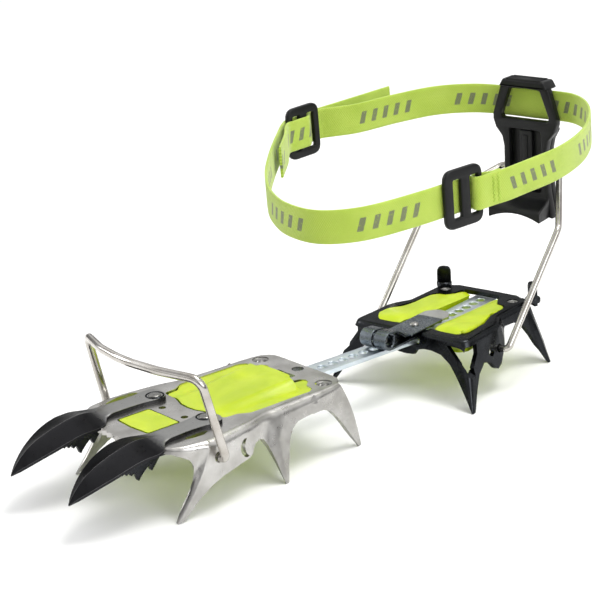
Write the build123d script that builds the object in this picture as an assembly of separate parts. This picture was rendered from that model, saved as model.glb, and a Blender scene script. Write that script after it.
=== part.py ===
"""Step-in crampon: front unit, linking bar, sliding heel unit, two wire bails, heel lever and strap.

Everything is in millimetres. The model is laid out in the heel frame: X runs from the heel to the
toe along the heel unit's centre line, Y points to the wearer's left, Z is up, X = 0 is the heel
plate's front edge and Z = 0 is the plane of the point tips. At the end the whole model is shifted
so that the origin is the bottom centre of its bounding box.
"""

import os
from math import cos, hypot, radians, sin

from build123d import *

# ---- driving dimensions ----------------------------------------------------------------------
PLATE_TOP = 37.0  # sole-bearing face of both frames above the point tips
SHEET = 3.0  # thickness of the frame sheets
PLATE_BOTTOM = PLATE_TOP - SHEET

FRONT_X = 86.1  # front unit's own origin, measured in the heel frame
FRONT_Y = -17.4
FRONT_YAW = -11.46  # the front unit toes in by this much

BAR_WIDTH = 14.5
BAR_THICK = 2.5
BAR_TOP = PLATE_BOTTOM - 0.7  # leaves room for the bar to flex by a few degrees
BAR_BOTTOM = BAR_TOP - BAR_THICK
BAR_REAR = -78.0
HOLE_PITCH = 7.5
HOLE_R = 2.8
LOCK_HOLE_X = -4.0  # the hole that the locking pin sits in
HEEL_HOLES_BEHIND = 9  # holes behind the locked one
FRONT_HOLES = 7  # holes in the bar's front stretch
FRONT_HOLE_START = -14.4  # front-most hole, in the front unit's frame

TOE_PIVOT_X = 85.5  # toe bail's pivot, in the front unit's frame
TOE_PIVOT_Z = 27.3
TOE_WIRE_R = 2.3
TOE_LEG_Y = 51.0
TOE_TOP = (96.2, 49.0, 72.3)  # corner between a leg and the cross wire
TOE_BOW = 11.0  # how far the cross wire bows forwards

HEEL_PIVOT_X = -29.0
HEEL_PIVOT_Z = 24.0
HEEL_WIRE_R = 2.0
HEEL_LEG_Y = 46.6
HEEL_BEND = (-84.7, 46.6, 80.6)
HEEL_TOP = (-129.5, 20.0, 100.0)  # corner between a leg and the lever's pivot wire
RUNNING = 0.08  # radial clearance of a wire or pin in its hole

LEVER_FRONT = -123.0
LEVER_BACK = -133.0
POCKET_FLOOR = -127.0

STRAP_WIDTH = 18.0
STRAP_THICK = 1.6
STRAP_X = -131.2  # strap's middle plane where it passes behind the lever's posts
STRAP_Z = 140.0
STRAP_DROOP = 2.3  # degrees that the loop dips towards the toe

CLIP_X = 28.3  # adjuster clip's hinge
CLIP_Z = 40.2
CLIP_Y = -2.1
CLIP_NOSE_R = 5.0
CLIP_PIN_R = 1.5
CLIP_NOSE_HALF = 8.8
CLIP_SLIT_HALF = 1.0
CLIP_EYE_HALF = 0.8
CLIP_EYE_R = 3.6
CLIP_ARM_HALF = 8.5
CLIP_ARM_THICK = 1.6
LOCK_PIN_R = 2.0
LOCK_NECK_R = 1.6

RIVET_SHANK_R = 2.45
RIVET_HOLE_R = 2.5
RIVET_HEAD_R = 4.3
RIVET_SEAT_R = 4.6  # dished seat round the rivets in the frames' rear corners
RIVET_SEAT_DEPTH = 1.2
TAB_PLACE = (-79.5, 31.4)  # upright tabs on the heel frame's rear corners
TAB_TURN = 61
TAB_HALF = 4.2
TAB_THICK = 2.4
TAB_MIDDLE_Z = 43.1
POINT_ARM_TOP = 39.4  # top of the front points' arms
POINT_SPREAD = 22.6  # from the centre line to each front point
TEETH_SPREAD = 26.0  # and to the secondary teeth below them
PAD_TOP = 39.4  # heel pads
SOFT_GAP = 0.2  # between the soft plates and the sheet above them

FRONT = Location((FRONT_X, FRONT_Y, 0), (0, 0, FRONT_YAW))


# ---- helpers ---------------------------------------------------------------------------------
def mirrored(half):
    """Close a half outline, listed along +Y from the rear to the front, over the XZ plane."""
    return list(half) + [(x, -y) for x, y in reversed(half) if y]


def flat(points, z=0.0):
    """A face at height z with the given corners."""
    return Pos(0, 0, z) * make_face(Polyline(*points, close=True))


def slab(points, z_low, z_high):
    """A prism between two heights."""
    return extrude(flat(points, z_low), amount=z_high - z_low)


def box(x, y, z):
    """A block from three (low, high) pairs."""
    middle = [(low + high) / 2 for low, high in (x, y, z)]
    return Pos(*middle) * Box(x[1] - x[0], y[1] - y[0], z[1] - z[0])


def side_profile(points, y_low, y_high):
    """A prism whose outline is drawn in X and Z and runs from y_low to y_high."""
    face = make_face(Polyline(*[(x, y_low, z) for x, z in points], close=True))
    return extrude(face, amount=y_high - y_low, dir=(0, 1, 0))


def front_profile(points, x_low, x_high):
    """A prism whose outline is drawn in Y and Z and runs from x_low to x_high."""
    face = make_face(Polyline(*[(x_low, y, z) for y, z in points], close=True))
    return extrude(face, amount=x_high - x_low, dir=(1, 0, 0))


def both_sides(shape):
    """The shape and its mirror image over the XZ plane."""
    return shape + mirror(shape, about=Plane.XZ)


def y_rod(x, z, radius, y_low, y_high):
    """A round rod along Y."""
    rod = Cylinder(radius, y_high - y_low, rotation=(90, 0, 0))
    return Pos(x, (y_low + y_high) / 2, z) * rod


def z_rod(x, y, radius, z_low, z_high):
    """A round rod along Z."""
    return Pos(x, y, (z_low + z_high) / 2) * Cylinder(radius, z_high - z_low)


def skirt(top, bottom):
    """The sheet that flares from the plate's outline down to the outline at the point tips."""
    skins = []
    for inset in (0, -SHEET):
        faces = [flat(bottom, 0), flat(top, PLATE_TOP)]
        if inset:
            faces = [offset(face, amount=inset, kind=Kind.INTERSECTION) for face in faces]
        skins.append(loft(faces, ruled=True))
    return skins[0] - skins[1]


def wire(points, bends, radius):
    """A bent round wire along straight runs joined by arcs."""
    path = FilletPolyline(*points, radius=bends)
    start = Plane(path @ 0, z_dir=path % 0)
    return sweep(start * Circle(radius), path=path)


def rivet(x, y, z_low, z_high, shank, head, head_height):
    """A rivet with a flat head on top and its shank below."""
    return z_rod(x, y, shank, z_low, z_high) + z_rod(x, y, head, z_high - head_height, z_high)


# ---- front unit (drawn in its own frame, placed with FRONT) -----------------------------------
FRONT_TOP = mirrored(
    [(-10, 0), (-10, 28), (-6, 33.5), (10, 36), (45, 37.5), (58, 41), (78, 45), (92, 45.5)]
    + [(104, 42.5), (114, 34), (119, 16), (119, 0)]
)
FRONT_TIPS = mirrored(
    [(-20, 0), (-20, 33), (-15, 37), (5, 41), (45, 46.3), (62, 47), (80, 47.5), (95, 46.5)]
    + [(112, 42.6), (120, 36), (125, 18), (125, 0)]
)
# Lower edge of the side flange, from the rear tooth to the front tooth, then back along the top.
FRONT_SIDE = (
    [(-19, 38), (-16.5, 14), (-15.2, 0), (-13, 0), (-4.7, 15), (2, 24.5), (9, 27.6)]
    + [(29.4, 27), (35.1, 22), (43.2, 0), (45.8, 0), (48.6, 12.6), (52.7, 24.4), (57, 26.6)]
    + [(61.2, 26), (63, 21.9), (66, 20), (83.3, 17.2), (99.1, 9.7), (109.4, 0), (111.4, 0)]
    + [(105.9, 15.2), (101, 29.9), (100, 38)]
)
REAR_RIVET = (0.0, 27.0)
FRONT_RIVET = (75.3, 21.9)
OPENING = mirrored(
    [(3, 0), (3, 7.6), (10, 7.6), (10, 13), (7, 17), (8.5, 27), (13, 31), (30, 32.5)]
    + [(50, 32.5), (57, 29), (63, 24), (68, 13), (69, 0)]
)
FRONT_WINDOW = mirrored([(85, 0), (85, 14), (106, 14), (106, 0)])
SIDE_LENS = [(80, 33), (88, 31.5), (97, 33), (92, 39), (84, 40), (79, 37)]


def front_frame():
    """Stainless front frame: plate, side flanges with three teeth each, slots and holes."""
    flange = skirt(FRONT_TOP, FRONT_TIPS) & both_sides(side_profile(FRONT_SIDE, 18, 60))
    plate = slab(FRONT_TOP, PLATE_BOTTOM, PLATE_TOP)
    body = flange + plate
    low = PLATE_BOTTOM - 1
    high = PLATE_TOP + 1
    body -= slab(OPENING, low, high)
    body -= slab(FRONT_WINDOW, low, high)
    body -= both_sides(slab(SIDE_LENS, low, high))
    tab = box((4, 9.4), (8.1, 11.1), (BAR_BOTTOM, PLATE_BOTTOM + 0.5))
    body += both_sides(tab)
    for x, y, radius in (
        (-4.4, 0, 3.4),
        (80, 9.5, 2.2),
        (80, -9.5, 2.2),
        (FRONT_RIVET[0], FRONT_RIVET[1], RIVET_HOLE_R),
        (FRONT_RIVET[0], -FRONT_RIVET[1], RIVET_HOLE_R),
        (REAR_RIVET[0], REAR_RIVET[1], RIVET_HOLE_R),
        (REAR_RIVET[0], -REAR_RIVET[1], RIVET_HOLE_R),
    ):
        body -= z_rod(x, y, radius, low, high)
    for y in (REAR_RIVET[1], -REAR_RIVET[1]):
        body -= z_rod(REAR_RIVET[0], y, RIVET_SEAT_R, PLATE_TOP - RIVET_SEAT_DEPTH, high)
    body -= y_rod(TOE_PIVOT_X, TOE_PIVOT_Z, TOE_WIRE_R + RUNNING, -60, 60)
    crescent = y_rod(67.5, 26, 4.4, -60, 60) - y_rod(64.5, 26, 4.4, -70, 70)
    return body - crescent


def front_point(side):
    """Forged front point: an arm riveted to the plate that widens into a hooded, ridged blade."""
    sections = [  # x, half width, ridge height, edge height, underside height
        (69.5, 3.5, POINT_ARM_TOP, POINT_ARM_TOP, PLATE_TOP),
        (72.5, 7.0, POINT_ARM_TOP, POINT_ARM_TOP, PLATE_TOP),
        (78, 7.2, POINT_ARM_TOP, POINT_ARM_TOP, PLATE_TOP),
        (86, 6.2, POINT_ARM_TOP, POINT_ARM_TOP, PLATE_TOP),
        (106, 6.5, POINT_ARM_TOP, POINT_ARM_TOP, PLATE_TOP),
        (113, 12.6, 40.4, 37.9, PLATE_TOP),
        (119.5, 15.3, 41.3, 37.7, PLATE_TOP),
        (127, 14.9, 40.9, 37.2, 35.2),
        (139, 13.0, 38.2, 34.1, 31.9),
        (150, 9.1, 33.7, 29.6, 27.8),
        (158, 4.4, 27.9, 25.1, 23.7),
        (163.8, 0.8, 21.7, 20.9, 20.3),
    ]
    faces = []
    for x, half, ridge, edge, under in sections:
        corners = [(-half, edge), (0, ridge), (half, edge), (half * 0.9, under), (-half * 0.9, under)]
        faces.append(make_face(Polyline(*[(x, y, z) for y, z in corners], close=True)))
    blade = loft(faces, ruled=True)
    along = Location((0, side * POINT_SPREAD, 0), (0, 0, side * 1.2))
    blade = along * blade
    return blade - z_rod(FRONT_RIVET[0], side * FRONT_RIVET[1], RIVET_HOLE_R, 30, 50)


def secondary_teeth(side):
    """Serrated comb under each front point that bites in ice when the toe is loaded."""
    comb = [(108.2, 33.8), (108.2, 30), (110.5, 27.2), (114, 23.2), (115.4, 26.8), (118.4, 24.6)]
    comb += [(122.3, 20.2), (124.8, 25.4), (126.4, 24.2), (127.5, 26.8), (129.2, 25.2), (130.3, 27.4)]
    comb += [(131.9, 25.9), (133, 28), (134.6, 26.6), (135.8, 28.6), (139, 29.4), (138, 31.2)]
    comb += [(128, 33.4), (121, 33.8)]
    plate = side_profile(comb, -1.6, 1.6)
    foot = box((96, 111), (-5, 5), (31.2, 33.8))
    return Pos(0, side * TEETH_SPREAD, 0) * (plate + foot)


def front_point_rivets():
    """The two rivets that hold the front points."""
    x, y = FRONT_RIVET
    one = rivet(x, y, 33, POINT_ARM_TOP + 1.2, RIVET_SHANK_R, RIVET_HEAD_R, 1.1)
    return both_sides(one)


def front_frame_rivets():
    """The two rivets in the rear corners of the front frame."""
    x, y = REAR_RIVET
    one = rivet(x, y, 32.6, PLATE_TOP - 0.1, RIVET_SHANK_R, RIVET_HEAD_R, 1.0)
    return both_sides(one)


def front_anti_ball_plate():
    """Soft plate under the front frame whose panel rises through the opening."""
    base = mirrored([(16, 0), (16, 22), (20, 30), (66, 30), (71, 20), (72, 0)])
    panel = mirrored(
        [(12, 0), (12, 15), (14, 18), (14, 29.5), (30, 31.7), (49.5, 31.7), (56, 28.2)]
        + [(62, 23.4), (67, 12.5), (68, 0)]
    )
    body = slab(base, 31.0, PLATE_BOTTOM - SOFT_GAP) + slab(panel, PLATE_BOTTOM - 0.4, 36.8)
    wedge = side_profile([(12, 36), (12, 41.4), (44, 39), (60, 36.8), (60, 36)], -18, 18)
    bar_head = box((11, 15), (-13, 13), (30, PLATE_BOTTOM + 0.6))
    return body + wedge - bar_head


def front_anti_ball_insert():
    """Soft insert between the front points."""
    base = mirrored([(77.5, 0), (77.5, 17), (79, 40), (93, 40), (99, 36), (108, 17), (108, 0)])
    body = slab(base, 31.0, PLATE_BOTTOM - SOFT_GAP)
    body += box((85.4, 105.6), (-13.6, 13.6), (33, PLATE_TOP + 0.2))
    for y in (-TEETH_SPREAD, TEETH_SPREAD):
        body -= box((95.6, 109), (y - 5.4, y + 5.4), (30, 35))
    return body - both_sides(z_rod(*FRONT_RIVET, 4.0, 30, 35))


def toe_bail():
    """Toe bail: a stainless wire with a bowed cross bar, turned in through the flange holes."""
    x, y, z = TOE_TOP
    leg_foot = TOE_LEG_Y + 0.2
    bow = [(x + TOE_BOW * 0.75, y * 0.5, z + 1.0), (x + TOE_BOW, y * 0.12, z + 1.4)]
    left = [(TOE_PIVOT_X, 41.5, TOE_PIVOT_Z), (TOE_PIVOT_X, leg_foot, TOE_PIVOT_Z), TOE_TOP] + bow
    right = [(px, -py, pz) for px, py, pz in reversed(left)]
    bends = [3.6, 7.0, 40.0, 40.0, 40.0, 40.0, 7.0, 3.6]
    bail = wire(left + right, bends, TOE_WIRE_R)
    head = y_rod(TOE_PIVOT_X, TOE_PIVOT_Z, TOE_WIRE_R + 0.9, 40.4, 41.9)
    return bail + both_sides(head)


# ---- linking bar -----------------------------------------------------------------------------
def link_bar():
    """Perforated steel bar, bent in plan where the heel ends, with a T head in the front slot."""
    half = BAR_WIDTH / 2
    toe = FRONT * Pos(10.2, 0, 0)
    end = toe.position
    yaw = radians(FRONT_YAW)
    across = (-sin(yaw), cos(yaw))
    skew = half * sin(-yaw) / (1 + cos(yaw))
    left = [(BAR_REAR, half), (skew, half), (end.X + half * across[0], end.Y + half * across[1])]
    right = [(BAR_REAR, -half), (-skew, -half), (end.X - half * across[0], end.Y - half * across[1])]
    body = slab(left + right[::-1], BAR_BOTTOM, BAR_TOP)
    body += FRONT * box((9.9, 13.6), (-11.2, 11.2), (BAR_BOTTOM, BAR_TOP))
    for i in range(HEEL_HOLES_BEHIND + 1):
        body -= z_rod(LOCK_HOLE_X - i * HOLE_PITCH, 0, HOLE_R, 25, 40)
    for i in range(FRONT_HOLES):
        hole = z_rod(FRONT_HOLE_START - i * HOLE_PITCH, 0, HOLE_R, 25, 40)
        body -= FRONT * hole
    return body


# ---- heel unit -------------------------------------------------------------------------------
HEEL_TOP_OUTLINE = mirrored(
    [(-79, 0), (-79, 27), (-74, 31.5), (-44, 32), (-36, 37), (-30, 39), (-4, 39), (2, 34), (2, 0)]
)
HEEL_TIPS = mirrored(
    [(-88, 0), (-88, 36), (-80, 42.2), (-50, 41), (-40, 43), (-30, 44), (-3, 48), (13, 50), (13, 0)]
)
HEEL_SIDE = (
    [(2.6, 38), (2, 24), (9, 8), (13.4, 0), (10.6, 0), (2, 13), (-4, 20.6), (-12.3, 22)]
    + [(-18.5, 19), (-21.5, 14.6), (-24.1, 13.6), (-27.5, 14), (-32, 18), (-38.7, 25)]
    + [(-46, 31), (-60, 30.6), (-68, 19), (-76.2, 0), (-79, 0), (-84.5, 17), (-84, 38)]
)
HEEL_FRONT = (
    [(0, 38), (40, 38), (48, 18), (52, 0), (47.4, 0), (41, 9), (32.5, 18.8), (25, 24)]
    + [(18, 26.4), (9.3, 27.6), (6, 25), (0, 24.6)]
)
HEEL_RIVET = (-69.9, 23.7)
HEEL_OPENING = mirrored(
    [(-1, 0), (-1, 8.6), (-5, 9), (-5, 29), (-10, 32.5), (-30, 33), (-42, 28.8), (-60, 28.4)]
    + [(-62.5, 25), (-62, 20), (-66, 16), (-75, 14), (-75.5, 0)]
)


def heel_frame():
    """Black heel frame: plate, front flange with corner teeth, side flanges and rear teeth."""
    cutter = both_sides(side_profile(HEEL_SIDE, 15, 60) + front_profile(HEEL_FRONT, -3.4, 20))
    body = (skirt(HEEL_TOP_OUTLINE, HEEL_TIPS) & cutter) + slab(
        HEEL_TOP_OUTLINE, PLATE_BOTTOM, PLATE_TOP
    )
    corner = make_face(Polyline((-9, 0, 34.5), (9, 0, 34.5), (0, 0, 17.5), close=True))
    gap = Location((-2, 36, 0), (0, 0, -45)) * Pos(0, -20, 0) * extrude(corner, 40, dir=(0, 1, 0))
    body -= both_sides(gap)
    low = PLATE_BOTTOM - 1
    high = PLATE_TOP + 1
    body -= slab(HEEL_OPENING, low, high)
    body -= box((-4, 8), (-8.4, 8.4), (BAR_BOTTOM - 0.4, PLATE_BOTTOM + 1.2))
    rise = TAB_MIDDLE_Z - PLATE_BOTTOM
    upright = Pos(0, 0, PLATE_BOTTOM + rise / 2) * Box(2 * TAB_HALF, TAB_THICK, rise)
    crown = Pos(0, 0, TAB_MIDDLE_Z) * Cylinder(TAB_HALF, TAB_THICK, rotation=(90, 0, 0))
    tab = Location((*TAB_PLACE, 0), (0, 0, TAB_TURN)) * (upright + crown)
    foot = z_rod(*TAB_PLACE, TAB_HALF, PLATE_BOTTOM, PLATE_TOP)
    body += both_sides(foot)
    body += both_sides(tab)
    x, y = HEEL_RIVET
    lug = z_rod(x, y, 8.0, PLATE_BOTTOM, PLATE_TOP)
    body += both_sides(lug)
    body -= both_sides(z_rod(x, y, RIVET_HOLE_R, low, high))
    body -= both_sides(z_rod(x, y, RIVET_SEAT_R, PLATE_TOP - RIVET_SEAT_DEPTH, high))
    body -= y_rod(HEEL_PIVOT_X, HEEL_PIVOT_Z, HEEL_WIRE_R + RUNNING, -60, 60)
    return body - y_rod(HEEL_PIVOT_X + 8.6, HEEL_PIVOT_Z + 0.6, 2.6, -60, 60)


def heel_rivets():
    """The two rivets in the rear corners of the heel frame."""
    x, y = HEEL_RIVET
    one = rivet(x, y, 31.2, PLATE_TOP - 0.1, RIVET_SHANK_R, RIVET_HEAD_R, 1.0)
    return both_sides(one)


def heel_anti_ball_plate():
    """Soft plate under the heel with two pads that stand up beside the bar."""
    base = mirrored([(-76, 0), (-76, 24), (-70, 28), (-44, 28), (-36, 32), (-8, 33), (-4, 30), (-4, 0)])
    body = slab(base, 27.4, BAR_BOTTOM - 0.3)
    pad = [(-6, 10.5), (-6, 28), (-10.5, 31.8), (-29.8, 32.2), (-41.6, 28), (-59, 27.6)]
    pad += [(-61.4, 24.6), (-60.8, 19), (-65.4, 14.8), (-70, 12), (-70, 9.4), (-20, 9.4)]
    pads = slab(pad, BAR_BOTTOM - 0.6, PAD_TOP)
    return body + both_sides(pads)


def clip_base():
    """Spring tongue that leaves the front flange above the bar and carries the clip's hinge eye."""
    tongue = box((-0.6, CLIP_X), (CLIP_Y - 6.1, CLIP_Y + 6.1), (BAR_TOP + 0.3, PLATE_BOTTOM + 0.8))
    low, high = CLIP_Y - CLIP_EYE_HALF, CLIP_Y + CLIP_EYE_HALF
    eye = y_rod(CLIP_X, CLIP_Z, CLIP_EYE_R, low, high)
    web = box((CLIP_X - CLIP_EYE_R, CLIP_X), (low, high), (PLATE_BOTTOM, CLIP_Z))
    bore = y_rod(CLIP_X, CLIP_Z, CLIP_PIN_R, -20, 20)
    return tongue + eye + web - bore


def clip_hinge_pin():
    """The pin through the clip's loops."""
    return y_rod(CLIP_X, CLIP_Z, CLIP_PIN_R, CLIP_Y - CLIP_NOSE_HALF, CLIP_Y + CLIP_NOSE_HALF)


def adjuster_clip():
    """Lift-up lever with two rolled loops at its hinge."""
    nose = y_rod(CLIP_X, CLIP_Z, CLIP_NOSE_R, CLIP_Y - CLIP_NOSE_HALF, CLIP_Y + CLIP_NOSE_HALF)
    low = PLATE_TOP + 0.3
    high = low + CLIP_ARM_THICK
    arm = box((-24, CLIP_X), (-CLIP_ARM_HALF, CLIP_ARM_HALF), (low, high))
    arm -= box((CLIP_X - 2, CLIP_X + 1), (CLIP_Y + CLIP_NOSE_HALF, 20), (30, 50))
    tip = z_rod(-24, 0, CLIP_ARM_HALF, low, high)
    body = nose + arm + tip
    slit = box((CLIP_X - 7.5, CLIP_X + 8), (CLIP_Y - CLIP_SLIT_HALF, CLIP_Y + CLIP_SLIT_HALF), (30, 50))
    bore = y_rod(CLIP_X, CLIP_Z, CLIP_PIN_R + RUNNING, -20, 20)
    return body - slit - bore - z_rod(LOCK_HOLE_X, 0, LOCK_NECK_R, 30, 50)


def locking_pin():
    """The clip's pin: a head on the lever and a shank that drops into a hole of the bar."""
    head = z_rod(LOCK_HOLE_X, 0, 2.6, PLATE_TOP + 1.9, PLATE_TOP + 3.0)
    neck = z_rod(LOCK_HOLE_X, 0, LOCK_NECK_R, PLATE_TOP, PLATE_TOP + 2.2)
    shank = z_rod(LOCK_HOLE_X, 0, LOCK_PIN_R, BAR_BOTTOM + 0.4, PLATE_TOP + 0.3)
    return head + neck + shank


def heel_bail():
    """Heel bail: a closed-ended wire from the heel's flanges up to the lever's pivot."""
    foot = [(HEEL_PIVOT_X, 36.0, HEEL_PIVOT_Z), (HEEL_PIVOT_X, HEEL_LEG_Y, HEEL_PIVOT_Z)]
    left = foot + [HEEL_BEND, HEEL_TOP]
    right = [(x, -y, z) for x, y, z in reversed(left)]
    bends = [3.2, 9.0, 5.0, 5.0, 9.0, 3.2]
    bail = wire(left + right, bends, HEEL_WIRE_R)
    head = y_rod(HEEL_PIVOT_X, HEEL_PIVOT_Z, HEEL_WIRE_R + 0.9, 34.6, 36.6)
    return bail + both_sides(head)


LEVER_OUTLINE = [(0, 156), (12.5, 156), (16.5, 151.5), (22.4, 131.5), (20.5, 124.5), (14.8, 117.5)]
LEVER_OUTLINE += [(14.8, 97), (18.6, 72), (11, 74.6), (0, 75.6)]
LEVER_WINDOW = [(0, 150.4), (11, 150.4), (16.6, 129.6), (0, 129.6)]


def heel_lever():
    """Heel lever: a waisted plate with a strap window, a pocket and a hooked lower ledge."""
    outline = LEVER_OUTLINE + [(-y, z) for y, z in reversed(LEVER_OUTLINE) if y]
    window = LEVER_WINDOW + [(-y, z) for y, z in reversed(LEVER_WINDOW) if y]
    body = front_profile(outline, LEVER_BACK, LEVER_FRONT)
    hook = [(LEVER_FRONT - 1, 86), (-115, 80), (-109, 78.4), (-109, 72.4), (LEVER_FRONT - 1, 72.4)]
    body += side_profile(hook, -17.6, 17.6)
    body -= front_profile(window, LEVER_BACK - 1, LEVER_FRONT + 1)
    body -= box((LEVER_BACK - 1, STRAP_X + 1.6), (-30, 30), (129.6, 150.4))
    body -= box((POCKET_FLOOR, LEVER_FRONT + 1), (-11, 11), (87, 125.4))
    return body - y_rod(HEEL_TOP[0], HEEL_TOP[2], HEEL_WIRE_R + RUNNING, -30, 30)


def lever_rib():
    """Ribbed stiffening insert in the lever's pocket, over the pivot wire."""
    body = box((POCKET_FLOOR, LEVER_FRONT - 0.6), (-4.6, 4.6), (87.2, 125.2))
    return body


# ---- strap -----------------------------------------------------------------------------------
LOOP = Pos(STRAP_X, 0, STRAP_Z) * Rot(0, STRAP_DROOP, 0) * Pos(-STRAP_X, 0, 0)
LADDER = (37.5, 64.5, -14.0)  # ladder buckle: x, y and heading in degrees
SLIDER = (-28.0, -93.0, 172.0)
BUCKLE_THICK = 3.0
LAYER = 2.7  # strap layers pass this far from a buckle's middle plane


def beside(place, along, out):
    """A plan point measured along and out from a buckle's centre."""
    x, y, heading = place
    a = radians(heading)
    return (x + along * cos(a) - out * sin(a), y + along * sin(a) + out * cos(a))


def ribbon(points):
    """Webbing standing on edge along a smooth plan path, centred on the loop's plane."""
    path = Spline(*points)
    count = 4 * len(points)
    sides = ([], [])
    for i in range(count + 1):
        at = path @ (i / count)
        along = path % (i / count)
        size = hypot(along.X, along.Y)
        for side, sign in zip(sides, (1, -1)):
            shift = sign * STRAP_THICK / 2 / size
            side.append((at.X - shift * along.Y, at.Y + shift * along.X))
    left, right = Spline(*sides[0]), Spline(*sides[1])
    edges = [left, Line(left @ 1, right @ 1), right, Line(right @ 0, left @ 0)]
    return Pos(0, 0, -STRAP_WIDTH / 2) * extrude(make_face(edges), amount=STRAP_WIDTH)


def rear_webbing():
    """Webbing from the ladder buckle, behind the lever's posts, to the slider and back inside it."""
    near = [beside(LADDER, along, LAYER) for along in (6, -4, -14, -28)]
    turn = [(-4, 76), (-34, 79), (-68, 73.5), (-100, 59), (-121, 43), (-130, 29)]
    lever = [(STRAP_X, 17), (STRAP_X, 0), (STRAP_X, -17)]
    far = [(-128, -38), (-115, -57), (-90, -70), (-62, -80)]
    end = [beside(SLIDER, along, -LAYER) for along in (14, 6, -6, -14)]
    inner = [(6, -78.5), (28, -64.5)]
    return LOOP * ribbon(near + turn + lever + far + end + inner)


def front_webbing():
    """Webbing from the ladder buckle round the front to the slider, ending in a loose tail."""
    near = [beside(LADDER, along, -LAYER) for along in (-8, 4, 12, 24)]
    turn = [(96.5, 42), (109, 25), (106, 3), (92, -19), (72, -38.5), (49, -56), (10, -81.5)]
    end = [beside(SLIDER, along, LAYER) for along in (-10, 2, 12)]
    tail = [(-62, -92.5), (-82, -89), (-104, -85)]
    return LOOP * ribbon(near + turn + end + tail)


def buckle(place, length, height, slots):
    """A moulded buckle plate with upright slots."""
    plate = Box(length, BUCKLE_THICK, height)
    plate = fillet(plate.edges().filter_by(Axis.Y), 5.0)
    for middle, width in slots:
        plate -= Pos(middle, 0, 0) * Box(width, BUCKLE_THICK + 2, STRAP_WIDTH + 3)
    x, y, heading = place
    return LOOP * Location((x, y, 0), (0, 0, heading)) * plate


def ladder_buckle():
    """Ladder-lock buckle at the near side."""
    return buckle(LADDER, 26, 32, ((-7.2, 5.4), (4.4, 5.4)))


def slider_buckle():
    """Slider on the far side."""
    return buckle(SLIDER, 25, 31, ((-5.7, 5.2), (5.7, 5.2)))


# ---- assembly --------------------------------------------------------------------------------
FRONT_UNIT = {
    "front_frame": front_frame(),
    "front_point_left": front_point(1),
    "front_point_right": front_point(-1),
    "secondary_teeth_left": secondary_teeth(1),
    "secondary_teeth_right": secondary_teeth(-1),
    "front_point_rivets": front_point_rivets(),
    "front_frame_rivets": front_frame_rivets(),
    "front_anti_ball_plate": front_anti_ball_plate(),
    "front_anti_ball_insert": front_anti_ball_insert(),
    "toe_bail": toe_bail(),
}
NODES = {name: FRONT * shape for name, shape in FRONT_UNIT.items()}
NODES.update(
    {
        "link_bar": link_bar(),
        "heel_frame": heel_frame(),
        "heel_rivets": heel_rivets(),
        "heel_anti_ball_plate": heel_anti_ball_plate(),
        "clip_base": clip_base(),
        "clip_hinge_pin": clip_hinge_pin(),
        "adjuster_clip": adjuster_clip(),
        "locking_pin": locking_pin(),
        "heel_bail": heel_bail(),
        "heel_lever": heel_lever(),
        "lever_rib": lever_rib(),
        "rear_webbing": rear_webbing(),
        "front_webbing": front_webbing(),
        "ladder_buckle": ladder_buckle(),
        "slider_buckle": slider_buckle(),
    }
)
BOUNDS = Compound(list(NODES.values())).bounding_box()
SHIFT = (-(BOUNDS.min.X + BOUNDS.max.X) / 2, -(BOUNDS.min.Y + BOUNDS.max.Y) / 2, -BOUNDS.min.Z)

os.makedirs("parts", exist_ok=True)
for name, shape in NODES.items():
    export_step(Pos(*SHIFT) * shape, f"parts/{name}.step")
print("shift", [round(value, 3) for value in SHIFT], "size", BOUNDS.size)
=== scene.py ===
"""Step-in crampon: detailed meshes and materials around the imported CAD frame."""

from math import atan2, ceil, cos, exp, hypot, pi, radians, sin, sqrt

import bmesh
import bpy
from mathutils import Matrix, Vector


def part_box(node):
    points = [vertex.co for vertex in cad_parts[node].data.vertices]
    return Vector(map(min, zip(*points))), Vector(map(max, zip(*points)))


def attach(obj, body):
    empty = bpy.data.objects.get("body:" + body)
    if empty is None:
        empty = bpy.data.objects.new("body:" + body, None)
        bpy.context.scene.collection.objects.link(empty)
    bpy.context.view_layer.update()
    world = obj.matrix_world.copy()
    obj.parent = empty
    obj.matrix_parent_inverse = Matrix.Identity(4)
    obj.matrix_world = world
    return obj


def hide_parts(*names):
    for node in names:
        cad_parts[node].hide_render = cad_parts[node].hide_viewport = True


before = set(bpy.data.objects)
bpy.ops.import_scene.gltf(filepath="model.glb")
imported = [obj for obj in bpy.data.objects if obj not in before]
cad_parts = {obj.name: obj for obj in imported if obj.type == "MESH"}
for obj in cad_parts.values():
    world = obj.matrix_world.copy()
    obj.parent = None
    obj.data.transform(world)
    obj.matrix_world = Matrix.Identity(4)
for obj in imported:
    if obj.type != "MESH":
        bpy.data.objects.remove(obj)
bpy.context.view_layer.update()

MM = 0.001

# ---- places, from the frame ------------------------------------------------------------------
# The heel frame's origin is on the locking pin's axis, 4 mm in front of it. Lengths are in mm.
PIN_LOW, PIN_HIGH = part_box("locking_pin")
HEEL_ORIGIN = Vector(((PIN_LOW.x + PIN_HIGH.x) / 2 + 4 * MM, (PIN_LOW.y + PIN_HIGH.y) / 2, 0))
FRONT_YAW = radians(-11.46)
HEEL = Matrix.Translation(HEEL_ORIGIN) @ Matrix.Scale(MM, 4)
FRONT = HEEL @ Matrix.Translation((86.1, -17.4, 0)) @ Matrix.Rotation(FRONT_YAW, 4, "Z")

# Stands an outline drawn in x and y up into x and z.
UPRIGHT = Matrix(((1, 0, 0, 0), (0, 0, -1, 0), (0, 1, 0, 0), (0, 0, 0, 1)))

TOP = 37.0  # sole faces above the point tips
SHEET = 3.0
BAR_TOP = 33.3
BAR_THICK = 2.5
TOE_PIVOT = (85.5, 27.3)  # x and z
HEEL_PIVOT = (-29.0, 24.0)  # x and z
SIDES = ((1, "left"), (-1, "right"))


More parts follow.
